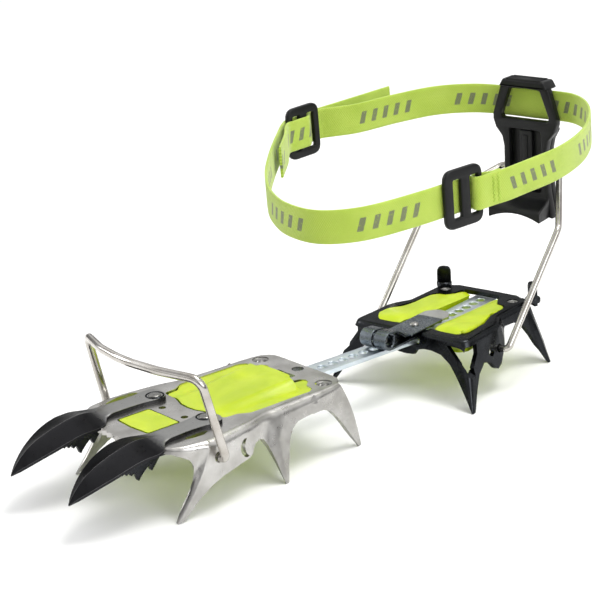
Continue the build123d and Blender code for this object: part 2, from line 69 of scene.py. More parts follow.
# ---- mesh helpers ----------------------------------------------------------------------------
def at(frame_place, x, y, z):
    """A frame's place moved by x, y and z in its own directions."""
    return frame_place @ Matrix.Translation((x, y, z))


def add_object(name, data):
    """An object in the scene for a mesh, a curve, a lamp or a camera."""
    obj = bpy.data.objects.new(name, data)
    bpy.context.scene.collection.objects.link(obj)
    return obj


def link(name, mesh, material, place=Matrix()):
    """An object at the origin whose mesh is moved to its place."""
    mesh.transform(place)
    if place.determinant() < 0:
        mesh.flip_normals()
    mesh.materials.append(material)
    return add_object(name, mesh)


def assign(piece, body, node=None):
    """Fixes a piece to its body and hides the CAD node that it stands for, if one is given."""
    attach(piece, body)
    if node:
        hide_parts(node)


def smooth(mesh):
    """Shades all faces of a mesh smoothly."""
    mesh.polygons.foreach_set("use_smooth", [True] * len(mesh.polygons))
    return mesh


def from_bmesh(name, bm):
    """A smooth mesh from a bmesh, which is freed."""
    mesh = bpy.data.meshes.new(name)
    bm.to_mesh(mesh)
    bm.free()
    return smooth(mesh)


def mended(mesh):
    """Welds a mesh's doubled corners, turns its faces outwards and shades it smoothly."""
    bm = bmesh.new()
    bm.from_mesh(mesh)
    bmesh.ops.remove_doubles(bm, verts=bm.verts, dist=1e-4)
    bmesh.ops.recalc_face_normals(bm, faces=bm.faces)
    bm.to_mesh(mesh)
    bm.free()
    return smooth(mesh)


def mesh_of(name, verts, faces, material, place=Matrix()):
    """A mesh object from lists of corners and faces, with its faces turned outwards."""
    mesh = bpy.data.meshes.new(name)
    mesh.from_pydata([tuple(v) for v in verts], [], faces)
    return link(name, mended(mesh), material, place)


def finish_edges(obj, bevel, segments=2, angle=35):
    """Rounds an object's edges."""
    edge = obj.modifiers.new("edge", "BEVEL")
    edge.width = bevel * MM
    edge.segments = segments
    edge.limit_method = "ANGLE"
    edge.angle_limit = radians(angle)
    edge.harden_normals = True
    return apply_modifiers(obj)


def apply_modifiers(obj):
    """Applies every modifier of an object to its mesh."""
    graph = bpy.context.evaluated_depsgraph_get()
    graph.update()
    made = bpy.data.meshes.new_from_object(obj.evaluated_get(graph))
    obj.modifiers.clear()
    obj.data = made
    return obj


def join(name, pieces):
    """Joins meshes into one object."""
    bm = bmesh.new()
    for piece in pieces:
        bm.from_mesh(piece.data)
    mesh = pieces[0].data.copy()
    bm.to_mesh(mesh)
    bm.free()
    for piece in pieces:
        bpy.data.objects.remove(piece)
    return add_object(name, mesh)


def rounded(corners, radius=1.0, steps=5):
    """A closed loop whose corners are rounded. A corner may carry its own radius as a third value."""
    loop = []
    count = len(corners)
    for i, corner in enumerate(corners):
        here = Vector(corner[:2])
        before = Vector(corners[i - 1][:2]) - here
        after = Vector(corners[(i + 1) % count][:2]) - here
        size = corner[2] if len(corner) > 2 else radius
        turn = before.angle(after) / 2
        reach = min(size / max(sin(turn) / cos(turn), 1e-3), before.length * 0.45, after.length * 0.45)
        start = here + before.normalized() * reach
        end = here + after.normalized() * reach
        for k in range(steps + 1):
            t = k / steps
            loop.append(start.lerp(here, t).lerp(here.lerp(end, t), t))
    return [(p.x, p.y) for p in loop]


def circle(x, y, radius, steps=28):
    """A closed loop of points round a centre."""
    angles = [2 * pi * k / steps for k in range(steps)]
    return [(x + radius * cos(a), y + radius * sin(a)) for a in angles]


def oblong(x_low, x_high, y_low, y_high, radius, steps=5):
    """A rectangle's loop with rounded corners."""
    return rounded([(x_low, y_low), (x_high, y_low), (x_high, y_high), (x_low, y_high)], radius, steps)


def mirrored(half):
    """Closes a half outline, listed along +y, over the x axis."""
    return list(half) + [(p[0], -p[1], *p[2:]) for p in reversed(half) if abs(p[1]) > 1e-6]


def plate(name, loops, low, high, material, place=Matrix(), bevel=0.35):
    """A flat plate between two heights. The first loop is its outline and the rest are holes."""
    curve = bpy.data.curves.new(name, "CURVE")
    curve.dimensions = "2D"
    curve.fill_mode = "BOTH"
    curve.extrude = (high - low) / 2 - bevel
    curve.bevel_depth = bevel
    curve.bevel_resolution = 2
    curve.offset = -bevel
    for loop in loops:
        spline = curve.splines.new("POLY")
        spline.points.add(len(loop) - 1)
        for point, (x, y) in zip(spline.points, loop):
            point.co = (x, y, 0, 1)
        spline.use_cyclic_u = True
    holder = add_object(name, curve)
    graph = bpy.context.evaluated_depsgraph_get()
    mesh = bpy.data.meshes.new_from_object(holder.evaluated_get(graph))
    bpy.data.objects.remove(holder)
    mesh.materials.clear()
    middle = Matrix.Translation((0, 0, (low + high) / 2))
    return sharpen(link(name, mended(mesh), material, place @ middle))


def sharpen(obj, angle=32):
    """Marks the edges that turn by more than an angle as sharp, so flat faces stay flat."""
    bm = bmesh.new()
    bm.from_mesh(obj.data)
    for edge in bm.edges:
        if len(edge.link_faces) == 2:
            edge.smooth = edge.calc_face_angle(0) < radians(angle)
    bm.to_mesh(obj.data)
    bm.free()
    return obj


def direction(path, i):
    """The way that a path runs at one of its points."""
    return (path[min(i + 1, len(path) - 1)] - path[max(i - 1, 0)]).normalized()


def tube(name, points, radius, material, place=Matrix(), bends=(), around=20):
    """A bent wire: straight runs between points, with an arc of the given radius at each bend."""
    path = arc_path([Vector(p) for p in points], bends)
    rings = []
    normal = None
    for i, here in enumerate(path):
        ahead = direction(path, i)
        if normal is None:
            normal = ahead.orthogonal().normalized()
        normal = (normal - ahead * normal.dot(ahead)).normalized()
        other = ahead.cross(normal)
        angles = [2 * pi * k / around for k in range(around)]
        rings.append([here + (normal * cos(a) + other * sin(a)) * radius for a in angles])
    return loft(name, rings, material, place)


ARC_STEPS = 10


def arc_path(points, bends):
    """Points along straight runs joined by arcs, with a radius for each bend."""
    path = [points[0]]
    for i in range(1, len(points) - 1):
        here = points[i]
        before = points[i - 1] - here
        after = points[i + 1] - here
        half = before.angle(after) / 2
        reach = bends[i - 1] / (sin(half) / cos(half))
        start = here + before.normalized() * reach
        end = here + after.normalized() * reach
        middle = (before.normalized() + after.normalized()).normalized()
        centre = here + middle * (bends[i - 1] / sin(half))
        first, last = start - centre, end - centre
        for k in range(ARC_STEPS + 1):
            path.append(centre + first.slerp(last, k / ARC_STEPS).normalized() * first.length)
    path.append(points[-1])
    return path


def lathe(name, profile, material, place=Matrix(), around=40):
    """A turned piece from (radius, height) pairs, from its top centre down to its bottom centre."""
    verts = [(0, 0, profile[0][1])]
    faces = []
    for r, z in profile:
        for k in range(around):
            verts.append((r * cos(2 * pi * k / around), r * sin(2 * pi * k / around), z))
    for k in range(around):
        faces.append((0, 1 + k, 1 + (k + 1) % around))
    for i in range(len(profile) - 1):
        for k in range(around):
            j = (k + 1) % around
            a, b = 1 + i * around, 1 + (i + 1) * around
            faces.append((a + k, b + k, b + j, a + j))
    faces.append(tuple(1 + (len(profile) - 1) * around + k for k in range(around)))
    return sharpen(mesh_of(name, verts, faces, material, place), 40)


def loft(name, sections, material, place=Matrix()):
    """A skin through closed sections with equal numbers of points, capped at both ends."""
    count = len(sections[0])
    verts = [v for section in sections for v in section]
    faces = [tuple(range(count)), tuple(range(len(verts) - count, len(verts)))]
    for i in range(0, len(verts) - count, count):
        for k in range(count):
            j = (k + 1) % count
            faces.append((i + k, i + j, i + count + j, i + count + k))
    return mesh_of(name, verts, faces, material, place)


def through(table):
    """A smooth function through (x, y) pairs that doesn't overshoot them."""
    xs = [x for x, _ in table]
    ys = [y for _, y in table]
    slopes = [(ys[i + 1] - ys[i]) / (xs[i + 1] - xs[i]) for i in range(len(xs) - 1)]
    tangents = [slopes[0]]
    for before, after in zip(slopes, slopes[1:]):
        tangents.append(2 * before * after / (before + after) if before * after > 0 else 0.0)
    tangents.append(slopes[-1])

    def value(x):
        if x <= xs[0]:
            return ys[0]
        if x >= xs[-1]:
            return ys[-1]
        i = next(k for k in range(len(xs) - 1) if x <= xs[k + 1])
        step = xs[i + 1] - xs[i]
        t = (x - xs[i]) / step
        return (
            ys[i] * (1 + 2 * t) * (1 - t) ** 2
            + tangents[i] * step * t * (1 - t) ** 2
            + ys[i + 1] * t * t * (3 - 2 * t)
            + tangents[i + 1] * step * t * t * (t - 1)
        )

    return value


def straight(table):
    """A function that runs straight between (x, y) pairs."""

    def value(x):
        for (x0, y0), (x1, y1) in zip(table, table[1:]):
            if x <= x1:
                t = max((x - x0) / (x1 - x0), 0)
                return y0 + (y1 - y0) * t
        return table[-1][1]

    return value


def spread(low, high, step):
    """Evenly spaced values from low to high."""
    count = max(1, ceil(abs(high - low) / step))
    return [low + (high - low) * i / count for i in range(count + 1)]


def clamp(value):
    """A value held between 0 and 1."""
    return max(0.0, min(1.0, value))


def bump_at(x, centre, width):
    """A bell of height 1."""
    return exp(-(((x - centre) / width) ** 2))


# ---- materials -------------------------------------------------------------------------------
def new_material(name):
    """A material with its node tree, its shader and a texture coordinate in metres."""
    material = bpy.data.materials.new(name)
    material.use_nodes = True
    tree = material.node_tree
    shader = tree.nodes["Principled BSDF"]
    coordinate = tree.nodes.new("ShaderNodeTexCoord")
    return material, tree, shader, coordinate


def noise(tree, vector, scale, detail=4.0, rough=0.55, distortion=0.0):
    """A noise texture read at a vector."""
    node = tree.nodes.new("ShaderNodeTexNoise")
    node.inputs["Scale"].default_value = scale
    node.inputs["Detail"].default_value = detail
    node.inputs["Roughness"].default_value = rough
    node.inputs["Distortion"].default_value = distortion
    tree.links.new(vector, node.inputs["Vector"])
    return node.outputs["Fac"]


def ramp(tree, fac, stops):
    """A colour ramp from (position, colour) stops. A number stands for a grey."""
    node = tree.nodes.new("ShaderNodeValToRGB")
    elements = node.color_ramp.elements
    while len(elements) < len(stops):
        elements.new(0.5)
    for element, (position, colour) in zip(elements, stops):
        element.position = position
        element.color = (colour, colour, colour, 1) if isinstance(colour, float) else (*colour, 1)
    tree.links.new(fac, node.inputs["Fac"])
    return node.outputs["Color"]


def add_bump(tree, shader, height, strength, distance):
    """Roughens the surface's normal, on top of any bump that is there."""
    node = tree.nodes.new("ShaderNodeBump")
    node.inputs["Strength"].default_value = strength
    node.inputs["Distance"].default_value = distance * MM
    tree.links.new(height, node.inputs["Height"])
    if shader.inputs["Normal"].is_linked:
        tree.links.new(shader.inputs["Normal"].links[0].from_socket, node.inputs["Normal"])
    tree.links.new(node.outputs["Normal"], shader.inputs["Normal"])


def multiplied(tree, first, second):
    """Two colours multiplied."""
    node = tree.nodes.new("ShaderNodeMixRGB")
    node.blend_type = "MULTIPLY"
    node.inputs["Fac"].default_value = 1.0
    tree.links.new(first, node.inputs["Color1"])
    tree.links.new(second, node.inputs["Color2"])
    return node.outputs["Color"]


def settle(shader, constants):
    """Sets constants on the shader's own sockets."""
    for socket, value in constants.items():
        shader.inputs[socket].default_value = value


def surface(name, colour, rough, bump, constants, distortion=0.0):
    """A material with cloudy colour, cloudy roughness and a fine bump.

    colour and rough are (noise scale, detail, ramp stops), and bump is (noise scale, detail, strength,
    distance). Each of them may be None.
    """
    material, tree, shader, coordinate = new_material(name)
    where = coordinate.outputs["Object"]
    if colour:
        scale, detail, stops = colour
        clouds = noise(tree, where, scale, detail, distortion=distortion)
        tree.links.new(ramp(tree, clouds, stops), shader.inputs["Base Color"])
    if rough:
        scale, detail, stops = rough
        tree.links.new(ramp(tree, noise(tree, where, scale, detail), stops), shader.inputs["Roughness"])
    if bump:
        scale, detail, strength, distance = bump
        add_bump(tree, shader, noise(tree, where, scale, detail), strength, distance)
    settle(shader, constants)
    return material, tree, shader, where


def metal(name, dark, light, rough, blast, blast_scale, scratch=0.0, grazing=1.0):
    """Metal with cloudy colour and roughness, painted shade in its creases, fine blasting and faint
    scratches.
    """
    colour = (60, 6, [(0.3, dark), (0.7, light)])
    smear = (140, 5, [(0.3, rough[0]), (0.72, rough[1])])
    constants = {"Metallic": 1.0, "Specular Tint": (grazing, grazing, grazing, 1)}
    material, tree, shader, where = surface(name, colour, smear, (blast_scale, 2, blast, 0.05), constants)
    shape = tree.nodes.new("ShaderNodeNewGeometry")
    # Painted shade: concave places, found by the mesh's pointiness, darken the base colour.
    creases = ramp(tree, shape.outputs["Pointiness"], [(0.42, 0.30), (0.497, 0.97), (0.52, 1.0)])
    unshaded_colour = shader.inputs["Base Color"].links[0].from_socket
    tree.links.new(multiplied(tree, unshaded_colour, creases), shader.inputs["Base Color"])
    if scratch:
        lines = tree.nodes.new("ShaderNodeMapping")
        lines.inputs["Scale"].default_value = (300, 5200, 5200)
        lines.inputs["Rotation"].default_value = (0, 0, FRONT_YAW)
        tree.links.new(where, lines.inputs["Vector"])
        add_bump(tree, shader, noise(tree, lines.outputs["Vector"], 1.0, 3), scratch, 0.05)
    return material


def point_steel(name):
    """Forged point steel: the blade is black and the arm fades to bead-blasted grey; a painted highlight
    keeps the blade's ridge and edges lighter.
    """
    smear = (300, 5, [(0.3, 0.26), (0.72, 0.42)])
    constants = {"Metallic": 1.0, "Specular Tint": (0.5, 0.5, 0.5, 1)}
    material, tree, shader, where = surface(name, None, smear, (2400, 3, 0.3, 0.07), constants)
    fade_and_ridge_highlight = tree.nodes.new("ShaderNodeAttribute")
    fade_and_ridge_highlight.attribute_name = "fade_and_ridge_highlight"
    mixed = tree.nodes.new("ShaderNodeMath")
    mixed.operation = "MULTIPLY_ADD"
    tree.links.new(noise(tree, where, 500, 5), mixed.inputs[0])
    mixed.inputs[1].default_value = 0.22
    tree.links.new(fade_and_ridge_highlight.outputs["Fac"], mixed.inputs[2])
    stops = [(0.10, (0.44, 0.44, 0.43)), (0.42, (0.27, 0.27, 0.27))]
    stops += [(0.72, (0.050, 0.050, 0.052)), (1.0, (0.026, 0.026, 0.028))]
    tree.links.new(ramp(tree, mixed.outputs["Value"], stops), shader.inputs["Base Color"])
    return material


def webbing(name):
    """Woven lime webbing. The mesh's UV map holds millimetres along and across the strap."""
    material, tree, shader, _ = new_material(name)
    uv = tree.nodes.new("ShaderNodeUVMap")
    uv.uv_map = "strap"
    split = tree.nodes.new("ShaderNodeSeparateXYZ")
    tree.links.new(uv.outputs["UV"], split.inputs["Vector"])

    def math(operation, a, b=None, c=None):
        node = tree.nodes.new("ShaderNodeMath")
        node.operation = operation
        for socket, value in zip(node.inputs, (a, b, c)):
            if isinstance(value, (int, float)):
                socket.default_value = value
            elif value is not None:
                tree.links.new(value, socket)
        return node.outputs["Value"]

    along, across = split.outputs["X"], split.outputs["Y"]
    warp = math("SINE", math("MULTIPLY", across, 2 * pi / 0.95))
    pick = math("SINE", math("MULTIPLY", along, 2 * pi / 1.15))
    odd = math("SIGN", math("SINE", math("MULTIPLY", across, pi / 0.95)))
    weave = math("MULTIPLY", math("MULTIPLY", pick, odd), 0.5)
    height = math("ADD", weave, math("MULTIPLY", math("ABSOLUTE", warp), 0.8))
    threads = noise(tree, uv.outputs["UV"], 0.9, 5)
    clouds = noise(tree, uv.outputs["UV"], 0.06, 3)
    fibres = math("ADD", math("MULTIPLY", threads, 0.45), math("MULTIPLY", clouds, 0.35))
    # Painted shade: the weave's relief darkens its hollows in the colour, added to the fibres' own tone.
    relief_shade_and_fibres = math("ADD", math("MULTIPLY", height, 0.27), fibres)
    stops = [(0.14, (0.18, 0.29, 0.012)), (0.50, (0.39, 0.54, 0.045)), (0.88, (0.62, 0.74, 0.16))]
    green = ramp(tree, relief_shade_and_fibres, stops)
    # Printed marks: groups of plain slanted bars along the middle of the strap.
    period, group, pitch, bar = 66.0, 41.0, 8.2, 3.4
    slant = math("MULTIPLY_ADD", across, 0.32, along)
    place = math("MODULO", math("ADD", slant, 1000 * period), period)
    printed = math("LESS_THAN", math("MODULO", place, pitch), bar)
    inside = math("MULTIPLY", math("LESS_THAN", place, group), printed)
    band = math("LESS_THAN", math("ABSOLUTE", across), 3.6)
    frayed = math("GREATER_THAN", math("ADD", threads, math("MULTIPLY", warp, 0.05)), 0.36)
    mark = math("MULTIPLY", math("MULTIPLY", inside, band), frayed)
    mix = tree.nodes.new("ShaderNodeMix")
    mix.data_type = "RGBA"
    tree.links.new(math("MULTIPLY", mark, 0.88), mix.inputs["Factor"])
    tree.links.new(green, mix.inputs[6])
    mix.inputs[7].default_value = (0.12, 0.13, 0.09, 1)
    tree.links.new(mix.outputs[2], shader.inputs["Base Color"])
    settle(shader, {
        "Roughness": 0.72,
        "Sheen Weight": 0.35,
        "Sheen Roughness": 0.4,
        "Subsurface Weight": 0.08,
        "Subsurface Radius": (0.5, 1.0, 0.2),
        "Subsurface Scale": 0.001,
    })
    add_bump(tree, shader, height, 0.75, 0.16)
    add_bump(tree, shader, threads, 0.25, 0.12)
    return material


STEEL = metal("satin_stainless", (0.35, 0.34, 0.32), (0.60, 0.59, 0.57), (0.24, 0.38), 0.35, 2600, 0.10)
BLACK = metal(
    "black_steel", (0.022, 0.024, 0.026), (0.040, 0.042, 0.046), (0.18, 0.34), 0.30, 1500, grazing=0.6
)
SPRING = metal(
    "spring_steel", (0.12, 0.135, 0.15), (0.23, 0.26, 0.29), (0.20, 0.34), 0.2, 1800, grazing=0.6
)
BARE = metal("bare_steel", (0.40, 0.40, 0.39), (0.56, 0.56, 0.55), (0.36, 0.52), 0.3, 2200, 0.1)
ZINC = metal("zinc_steel", (0.56, 0.64, 0.70), (0.80, 0.85, 0.89), (0.28, 0.44), 0.25, 1600, 0.08)
RIVET = metal("rivet_steel", (0.20, 0.20, 0.19), (0.36, 0.35, 0.34), (0.30, 0.44), 0.2, 2600)
POINT = point_steel("point_steel")
WEBBING = webbing("lime_webbing")
# Drawn, polished stainless wire.
WIRE = surface(
    "bright_wire",
    (90, 5, [(0.3, (0.42, 0.39, 0.35)), (0.7, (0.62, 0.60, 0.57))]),
    (420, 4, [(0.3, 0.13), (0.7, 0.24)]),
    (1800, 3, 0.12, 0.04),
    {"Metallic": 1.0},
)[0]
# Lime soft plastic: satin, slightly translucent, with flow clouds and a fine mould texture.
LIME = surface(
    "lime_elastomer",
    (38, 4, [(0.28, (0.37, 0.49, 0.002)), (0.72, (0.52, 0.63, 0.008))]),
    (180, 4, [(0.3, 0.30), (0.7, 0.46)]),
    (900, 3, 0.10, 0.08),
    {
        "Specular IOR Level": 0.35,
        "Coat Weight": 0.22,
        "Coat Roughness": 0.28,
        "Subsurface Weight": 0.18,
        "Subsurface Radius": (0.6, 1.0, 0.1),
        "Subsurface Scale": 0.003,
    },
    distortion=0.8,
)[0]
# Black moulded nylon with a spark-eroded grain.
PLASTIC = surface(
    "black_plastic",
    (70, 5, [(0.3, (0.004, 0.0042, 0.0045)), (0.75, (0.010, 0.0105, 0.011))]),
    (260, 4, [(0.3, 0.28), (0.72, 0.46)]),
    (3200, 2, 0.30, 0.06),
    {"Specular IOR Level": 0.22},
)[0]
THREAD_GREEN = [(0.3, (0.30, 0.45, 0.03)), (0.7, (0.46, 0.62, 0.09))]
THREAD = surface("sewing_thread", (2500, 3, THREAD_GREEN), None, None, {"Roughness": 0.6})[0]
PALE = [(0.2, 0.90), (0.8, 0.93)]
FLOOR = surface("floor", (3, 3, PALE), None, None, {"Roughness": 0.9, "Specular IOR Level": 0.1})[0]


# ---- pressed frames --------------------------------------------------------------------------
class Fold:
    """A flange folded down from a plate, as a row of columns.

    A station is (top x, top y, bottom x, bottom y, fold radius, bow, floor): where the flange's face
    would meet the plate's top and the floor, how a slanting column curves and how low it may reach.
    hand is 1 where the outside is on the left.
    """

    ARC_ROWS = 6
    ROWS = 16
    STEP = 0.7

    def __init__(self, stations, side, low, press, hand):
        self.side = side
        self.press = press
        self.columns = []
        dense = []
        for a, b in zip(stations, stations[1:]):
            gap = max(hypot(b[0] - a[0], b[1] - a[1]), hypot(b[2] - a[2], b[3] - a[3]))
            count = max(1, round(gap / self.STEP))
            for k in range(count):
                dense.append([p + (q - p) * k / count for p, q in zip(a, b)])
        dense.append(list(stations[-1]))
        for _ in range(3):
            dense = [dense[0]] + [
                [(p + 2 * q + r) / 4 if k < 4 else q for k, (p, q, r) in enumerate(zip(*near))]
                for near in zip(dense, dense[1:], dense[2:])
            ] + [dense[-1]]
        for i, (tx, ty, bx, by, radius, bow, floor) in enumerate(dense):
            before, after = dense[max(i - 1, 0)], dense[min(i + 1, len(dense) - 1)]
            along = Vector((after[0] - before[0], after[1] - before[1])).normalized()
            out = Vector((-along.y, along.x)) * hand
            down = Vector((bx - tx, by - ty))
            turn = atan2(TOP, out.dot(down))
            start = Vector((tx, ty)) - out * radius * sin(turn / 2) / cos(turn / 2)
            column = [start, out, along * along.dot(down), turn, radius, bow, 0.0]
            z = TOP
            while z > floor and z > low(out, self.place(column, z)):
                z -= 0.1
            column[6] = max(z, 0.0)
            self.columns.append(column)

    def place(self, column, z):
        """A column's point at height z, on the +y side and before the press marks."""
        start, out, slide, turn, radius, bow, _ = column
        drop = TOP - z
        knee = radius * (1 - cos(turn))
        if drop < knee:
            reach = sqrt(max(0.0, radius**2 - (radius - drop) ** 2))
        else:
            reach = radius * sin(turn) + (drop - knee) * cos(turn) / sin(turn)
        t = drop / TOP
        run = t**bow if bow > 0 else 1 - (1 - t) ** -bow
        return start + out * reach + slide * run

    def rows(self, column):
        """The corner points of a column, from the plate down."""
        turn, radius, low = column[3], column[4], column[6]
        turns = [turn * k / self.ARC_ROWS for k in range(self.ARC_ROWS + 1)]
        heights = [max(low, TOP - radius * (1 - cos(a))) for a in turns]
        start = heights[-1]
        heights += [start + (low - start) * (k + 1) / self.ROWS for k in range(self.ROWS)]
        points = []
        for k, z in enumerate(heights):
            p = self.place(column, z)
            if k:
                p = p + column[1] * self.press(p.x, z)
            points.append((p.x, self.side * p.y, z))
        return points

    def rim(self):
        """The fold line."""
        return [(c[0].x, self.side * c[0].y) for c in self.columns]


def pressed_frame(name, folds, outline, hole_loops, material, place):
    """A plate with holes, joined along its rim to folded flanges, as one open sheet."""
    bm = bmesh.new()
    cache = {}

    def vertex(point):
        key = tuple(round(c, 3) for c in point)
        if key not in cache:
            cache[key] = bm.verts.new(point)
        return cache[key]

    edges = []
    for loop in [outline] + hole_loops:
        verts = [vertex((x, y, TOP)) for x, y in loop]
        for a, b in zip(verts, verts[1:] + verts[:1]):
            if a is not b and not bm.edges.get((a, b)):
                edges.append(bm.edges.new((a, b)))
    bmesh.ops.triangle_fill(bm, use_beauty=True, use_dissolve=False, edges=edges, normal=(0, 0, 1))
    for fold in folds:
        grid = [[vertex(p) for p in fold.rows(column)] for column in fold.columns]
        for left, right in zip(grid, grid[1:]):
            for j in range(len(left) - 1):
                corners = []
                for v in (left[j], right[j], right[j + 1], left[j + 1]):
                    if v not in corners:
                        corners.append(v)
                if len(corners) > 2 and not bm.faces.get(corners):
                    bm.faces.new(corners)
    bmesh.ops.recalc_face_normals(bm, faces=bm.faces)
    if max(bm.faces, key=lambda f: f.calc_area()).normal.z < 0:
        bmesh.ops.reverse_faces(bm, faces=bm.faces)
    obj = link(name, from_bmesh(name, bm), material, place)
    full = obj.vertex_groups.new(name="thick")
    for v in obj.data.vertices:
        full.add([v.index], clamp(v.co.z / MM / 12), "REPLACE")
    solid = obj.modifiers.new("thickness", "SOLIDIFY")
    solid.thickness = (SHEET - 0.4) * MM
    solid.offset = -1
    solid.vertex_group = "thick"
    solid.thickness_vertex_group = 0.35
    solid.use_quality_normals = True
    return apply_modifiers(obj)


def cut(obj, cutters):
    """Cuts closed shapes out of an object."""
    for cutter in cutters:
        tool = obj.modifiers.new("cut", "BOOLEAN")
        tool.operation = "DIFFERENCE"
        tool.solver = "MANIFOLD"
        tool.object = cutter
    apply_modifiers(obj)
    for cutter in cutters:
        bpy.data.objects.remove(cutter)
    return obj


ACROSS = (-70, 70)  # well past both flanges


def y_prism(loop, y_low, y_high, place):
    """A cutter whose outline is in x and z."""
    return loft("cutter", [[(x, y, z) for x, z in loop] for y in (y_low, y_high)], STEEL, place)


def x_prism(loop, x_low, x_high, place):
    """A cutter whose outline is in y and z."""
    turned = Matrix(((0, 1, 0, 0), (1, 0, 0, 0), (0, 0, 1, 0), (0, 0, 0, 1)))
    return y_prism(loop, x_low, x_high, place @ turned)


FRONT_STATIONS = [
    (-5.4, 33.4, -14.9, 37.4, 2.4, -2.4, 0), (0, 34.8, -7, 39.3, 2.8, -2.0, 0),
    (10, 36.0, 6.5, 41.2, 3.6, -1.2, 0), (20, 36.4, 18.5, 42.9, 4.4, 1, 0),
    (32, 36.9, 32, 44.6, 5.0, 1, 0), (45, 37.5, 45, 46.3, 5.0, 1, 0), (52, 39.3, 53, 46.7, 4.6, 1, 0),
    (60, 41.6, 62, 47.0, 4.6, 1, 0), (70, 43.5, 72, 47.2, 4.8, 1.2, 0),
    (80, 45.0, 83.5, 47.3, 5.0, 1.5, 0), (86, 45.3, 100, 46.4, 5.0, 1.6, 0),
    (90, 45.2, 114, 45.8, 4.6, 1.5, 0), (90.8, 45.1, 114.9, 44.6, 4.2, 1.5, 0.5),
    (92.0, 45.0, 115.3, 42.2, 4.0, 1.5, 6.3), (94.2, 44.7, 112.8, 39.4, 3.8, 1.5, 18.0),
    (97.0, 44.2, 111.2, 36.6, 3.6, 1.5, 25.4), (100.4, 43.2, 110.6, 37.0, 3.2, 1.5, 29.2),
    (104.0, 41.6, 113.0, 40.0, 2.6, 1, 31.8), (109.0, 38.0, 118.0, 41.0, 2.2, 1, 33.8),
    (114.0, 32.6, 124.0, 37.0, 1.8, 1, 34.8), (117.4, 25.4, 128.6, 28.6, 1.6, 1, 35.2),
    (118.8, 18.0, 130.0, 19.0, 1.4, 1, 35.5),
]
FRONT_LOW = straight([
    (-30, 0), (-12.8, 0), (-7.5, 8.5), (-3, 15.5), (0.8, 21), (4.9, 25.4), (9.5, 27.4), (20, 27.9),
    (28.5, 27.2), (33, 24.6), (36, 20), (43.3, 0), (45.9, 0), (48.6, 12.6), (51.6, 22.4), (53.6, 25.6),
    (57, 26.9), (60.4, 26.2), (62.3, 24), (63.2, 21.6), (66, 20.2), (74, 18.9), (83.3, 17), (91, 13.9),
    (99.1, 9.4), (109.8, 0.6), (113, 0), (140, 0),
])
FRONT_RIVET_PLACE = (75.3, 21.9)
REAR_RIVET_PLACE = (0.0, 26.6)
HEEL_RIVET_PLACE = (-69.9, 23.6)


def front_press(x, z):
    """How far the front frame's flange is pressed outwards: tooth creases and folds."""
    deep = clamp((TOP - 4 - z) / 8)
    ridge = 1.2 * bump_at(x, 44.8, 2.8 + 0.08 * z) * deep
    valley = -1.0 * bump_at(x, 50.4, 5.0) * bump_at(z, 28.0, 8.0)
    swell = 0.5 * bump_at(x, 80.0, 7) * bump_at(z, 27.3, 7)
    return ridge + valley + swell


def build_front_frame():
    """Stainless front frame."""
    low = lambda out, p: FRONT_LOW(p.x)
    folds = [Fold(FRONT_STATIONS, side, low, front_press, 1) for side in (1, -1)]
    rear = [(-10.0, 0), (-10.2, 14), (-10.2, 22.5), (-9.6, 26.4), (-8.0, 29.2)]
    teeth = [(119, 11.4), (117.4, 9.4), (119.2, 7.6), (117.6, 5.4), (119.2, 3.4), (118, 1.4)]
    half = rear + folds[0].rim() + teeth
    outline = mirrored(half)
    opening = [
        (3.0, 0, 0.2), (3.0, 7.4, 0.6), (8.6, 7.4, 0.6), (9.6, 11.4, 1.4), (5.4, 12.6, 1.6),
        (3.0, 16.0, 1.8), (4.2, 18.9, 1.6), (8.4, 22.6, 2.5), (9.0, 28.0, 2.5), (13.0, 30.6, 2.5),
        (28, 30.4, 3), (44, 30.6, 5), (52.5, 30.4, 4), (58.6, 26.4, 3), (66.5, 26.0, 3), (67.2, 15, 5),
        (70.5, 6, 8), (71, 0, 3),
    ]
    window = [(85, 0), (85, 14.0), (106, 14.0), (107, 0)]
    lens = {
        1: [(82, 33.2), (86, 32.0), (95, 32.4), (98, 33.6), (93, 35.4), (87, 35.8)],
        -1: [(75.6, 33), (78, 30), (97, 30.4), (101.5, 33.6)]
        + [(95, 37.4), (88, 39.6), (80, 39.8), (76, 37.6)],
    }
    holes = [rounded(mirrored(opening), 1.2), rounded(mirrored(window), 2.2), circle(-4.4, 0, 3.4)]
    for side in (1, -1):
        holes.append([(x, side * y) for x, y in rounded(lens[side], 1.6)])
        holes.append(circle(79.6, side * 9.6, 2.0, 20))
        holes.append(circle(REAR_RIVET_PLACE[0], side * REAR_RIVET_PLACE[1], 4.7, 30))
        holes.append(circle(FRONT_RIVET_PLACE[0], side * FRONT_RIVET_PLACE[1], 2.6, 20))
    body = pressed_frame("front_frame_sheet", folds, outline, holes, STEEL, FRONT)
    bore = y_prism(circle(*TOE_PIVOT, 3.0, 32), *ACROSS, FRONT)
    cut(body, [bore, crescent_cutter()])
    finish_edges(body, bevel=0.38, angle=38)
    assign(body, "front_unit", "front_frame")


def crescent_cutter():
    """A half-moon cutter behind the toe bail's hole."""
    outer = [(66.2 + 5.0 * cos(radians(a)), 26 + 5.2 * sin(radians(a))) for a in range(-75, 76, 10)]
    inner = [(64.7 + 3.4 * cos(radians(a)), 26 + 4.8 * sin(radians(a))) for a in range(72, -73, -9)]
    return y_prism(outer + inner, *ACROSS, FRONT)


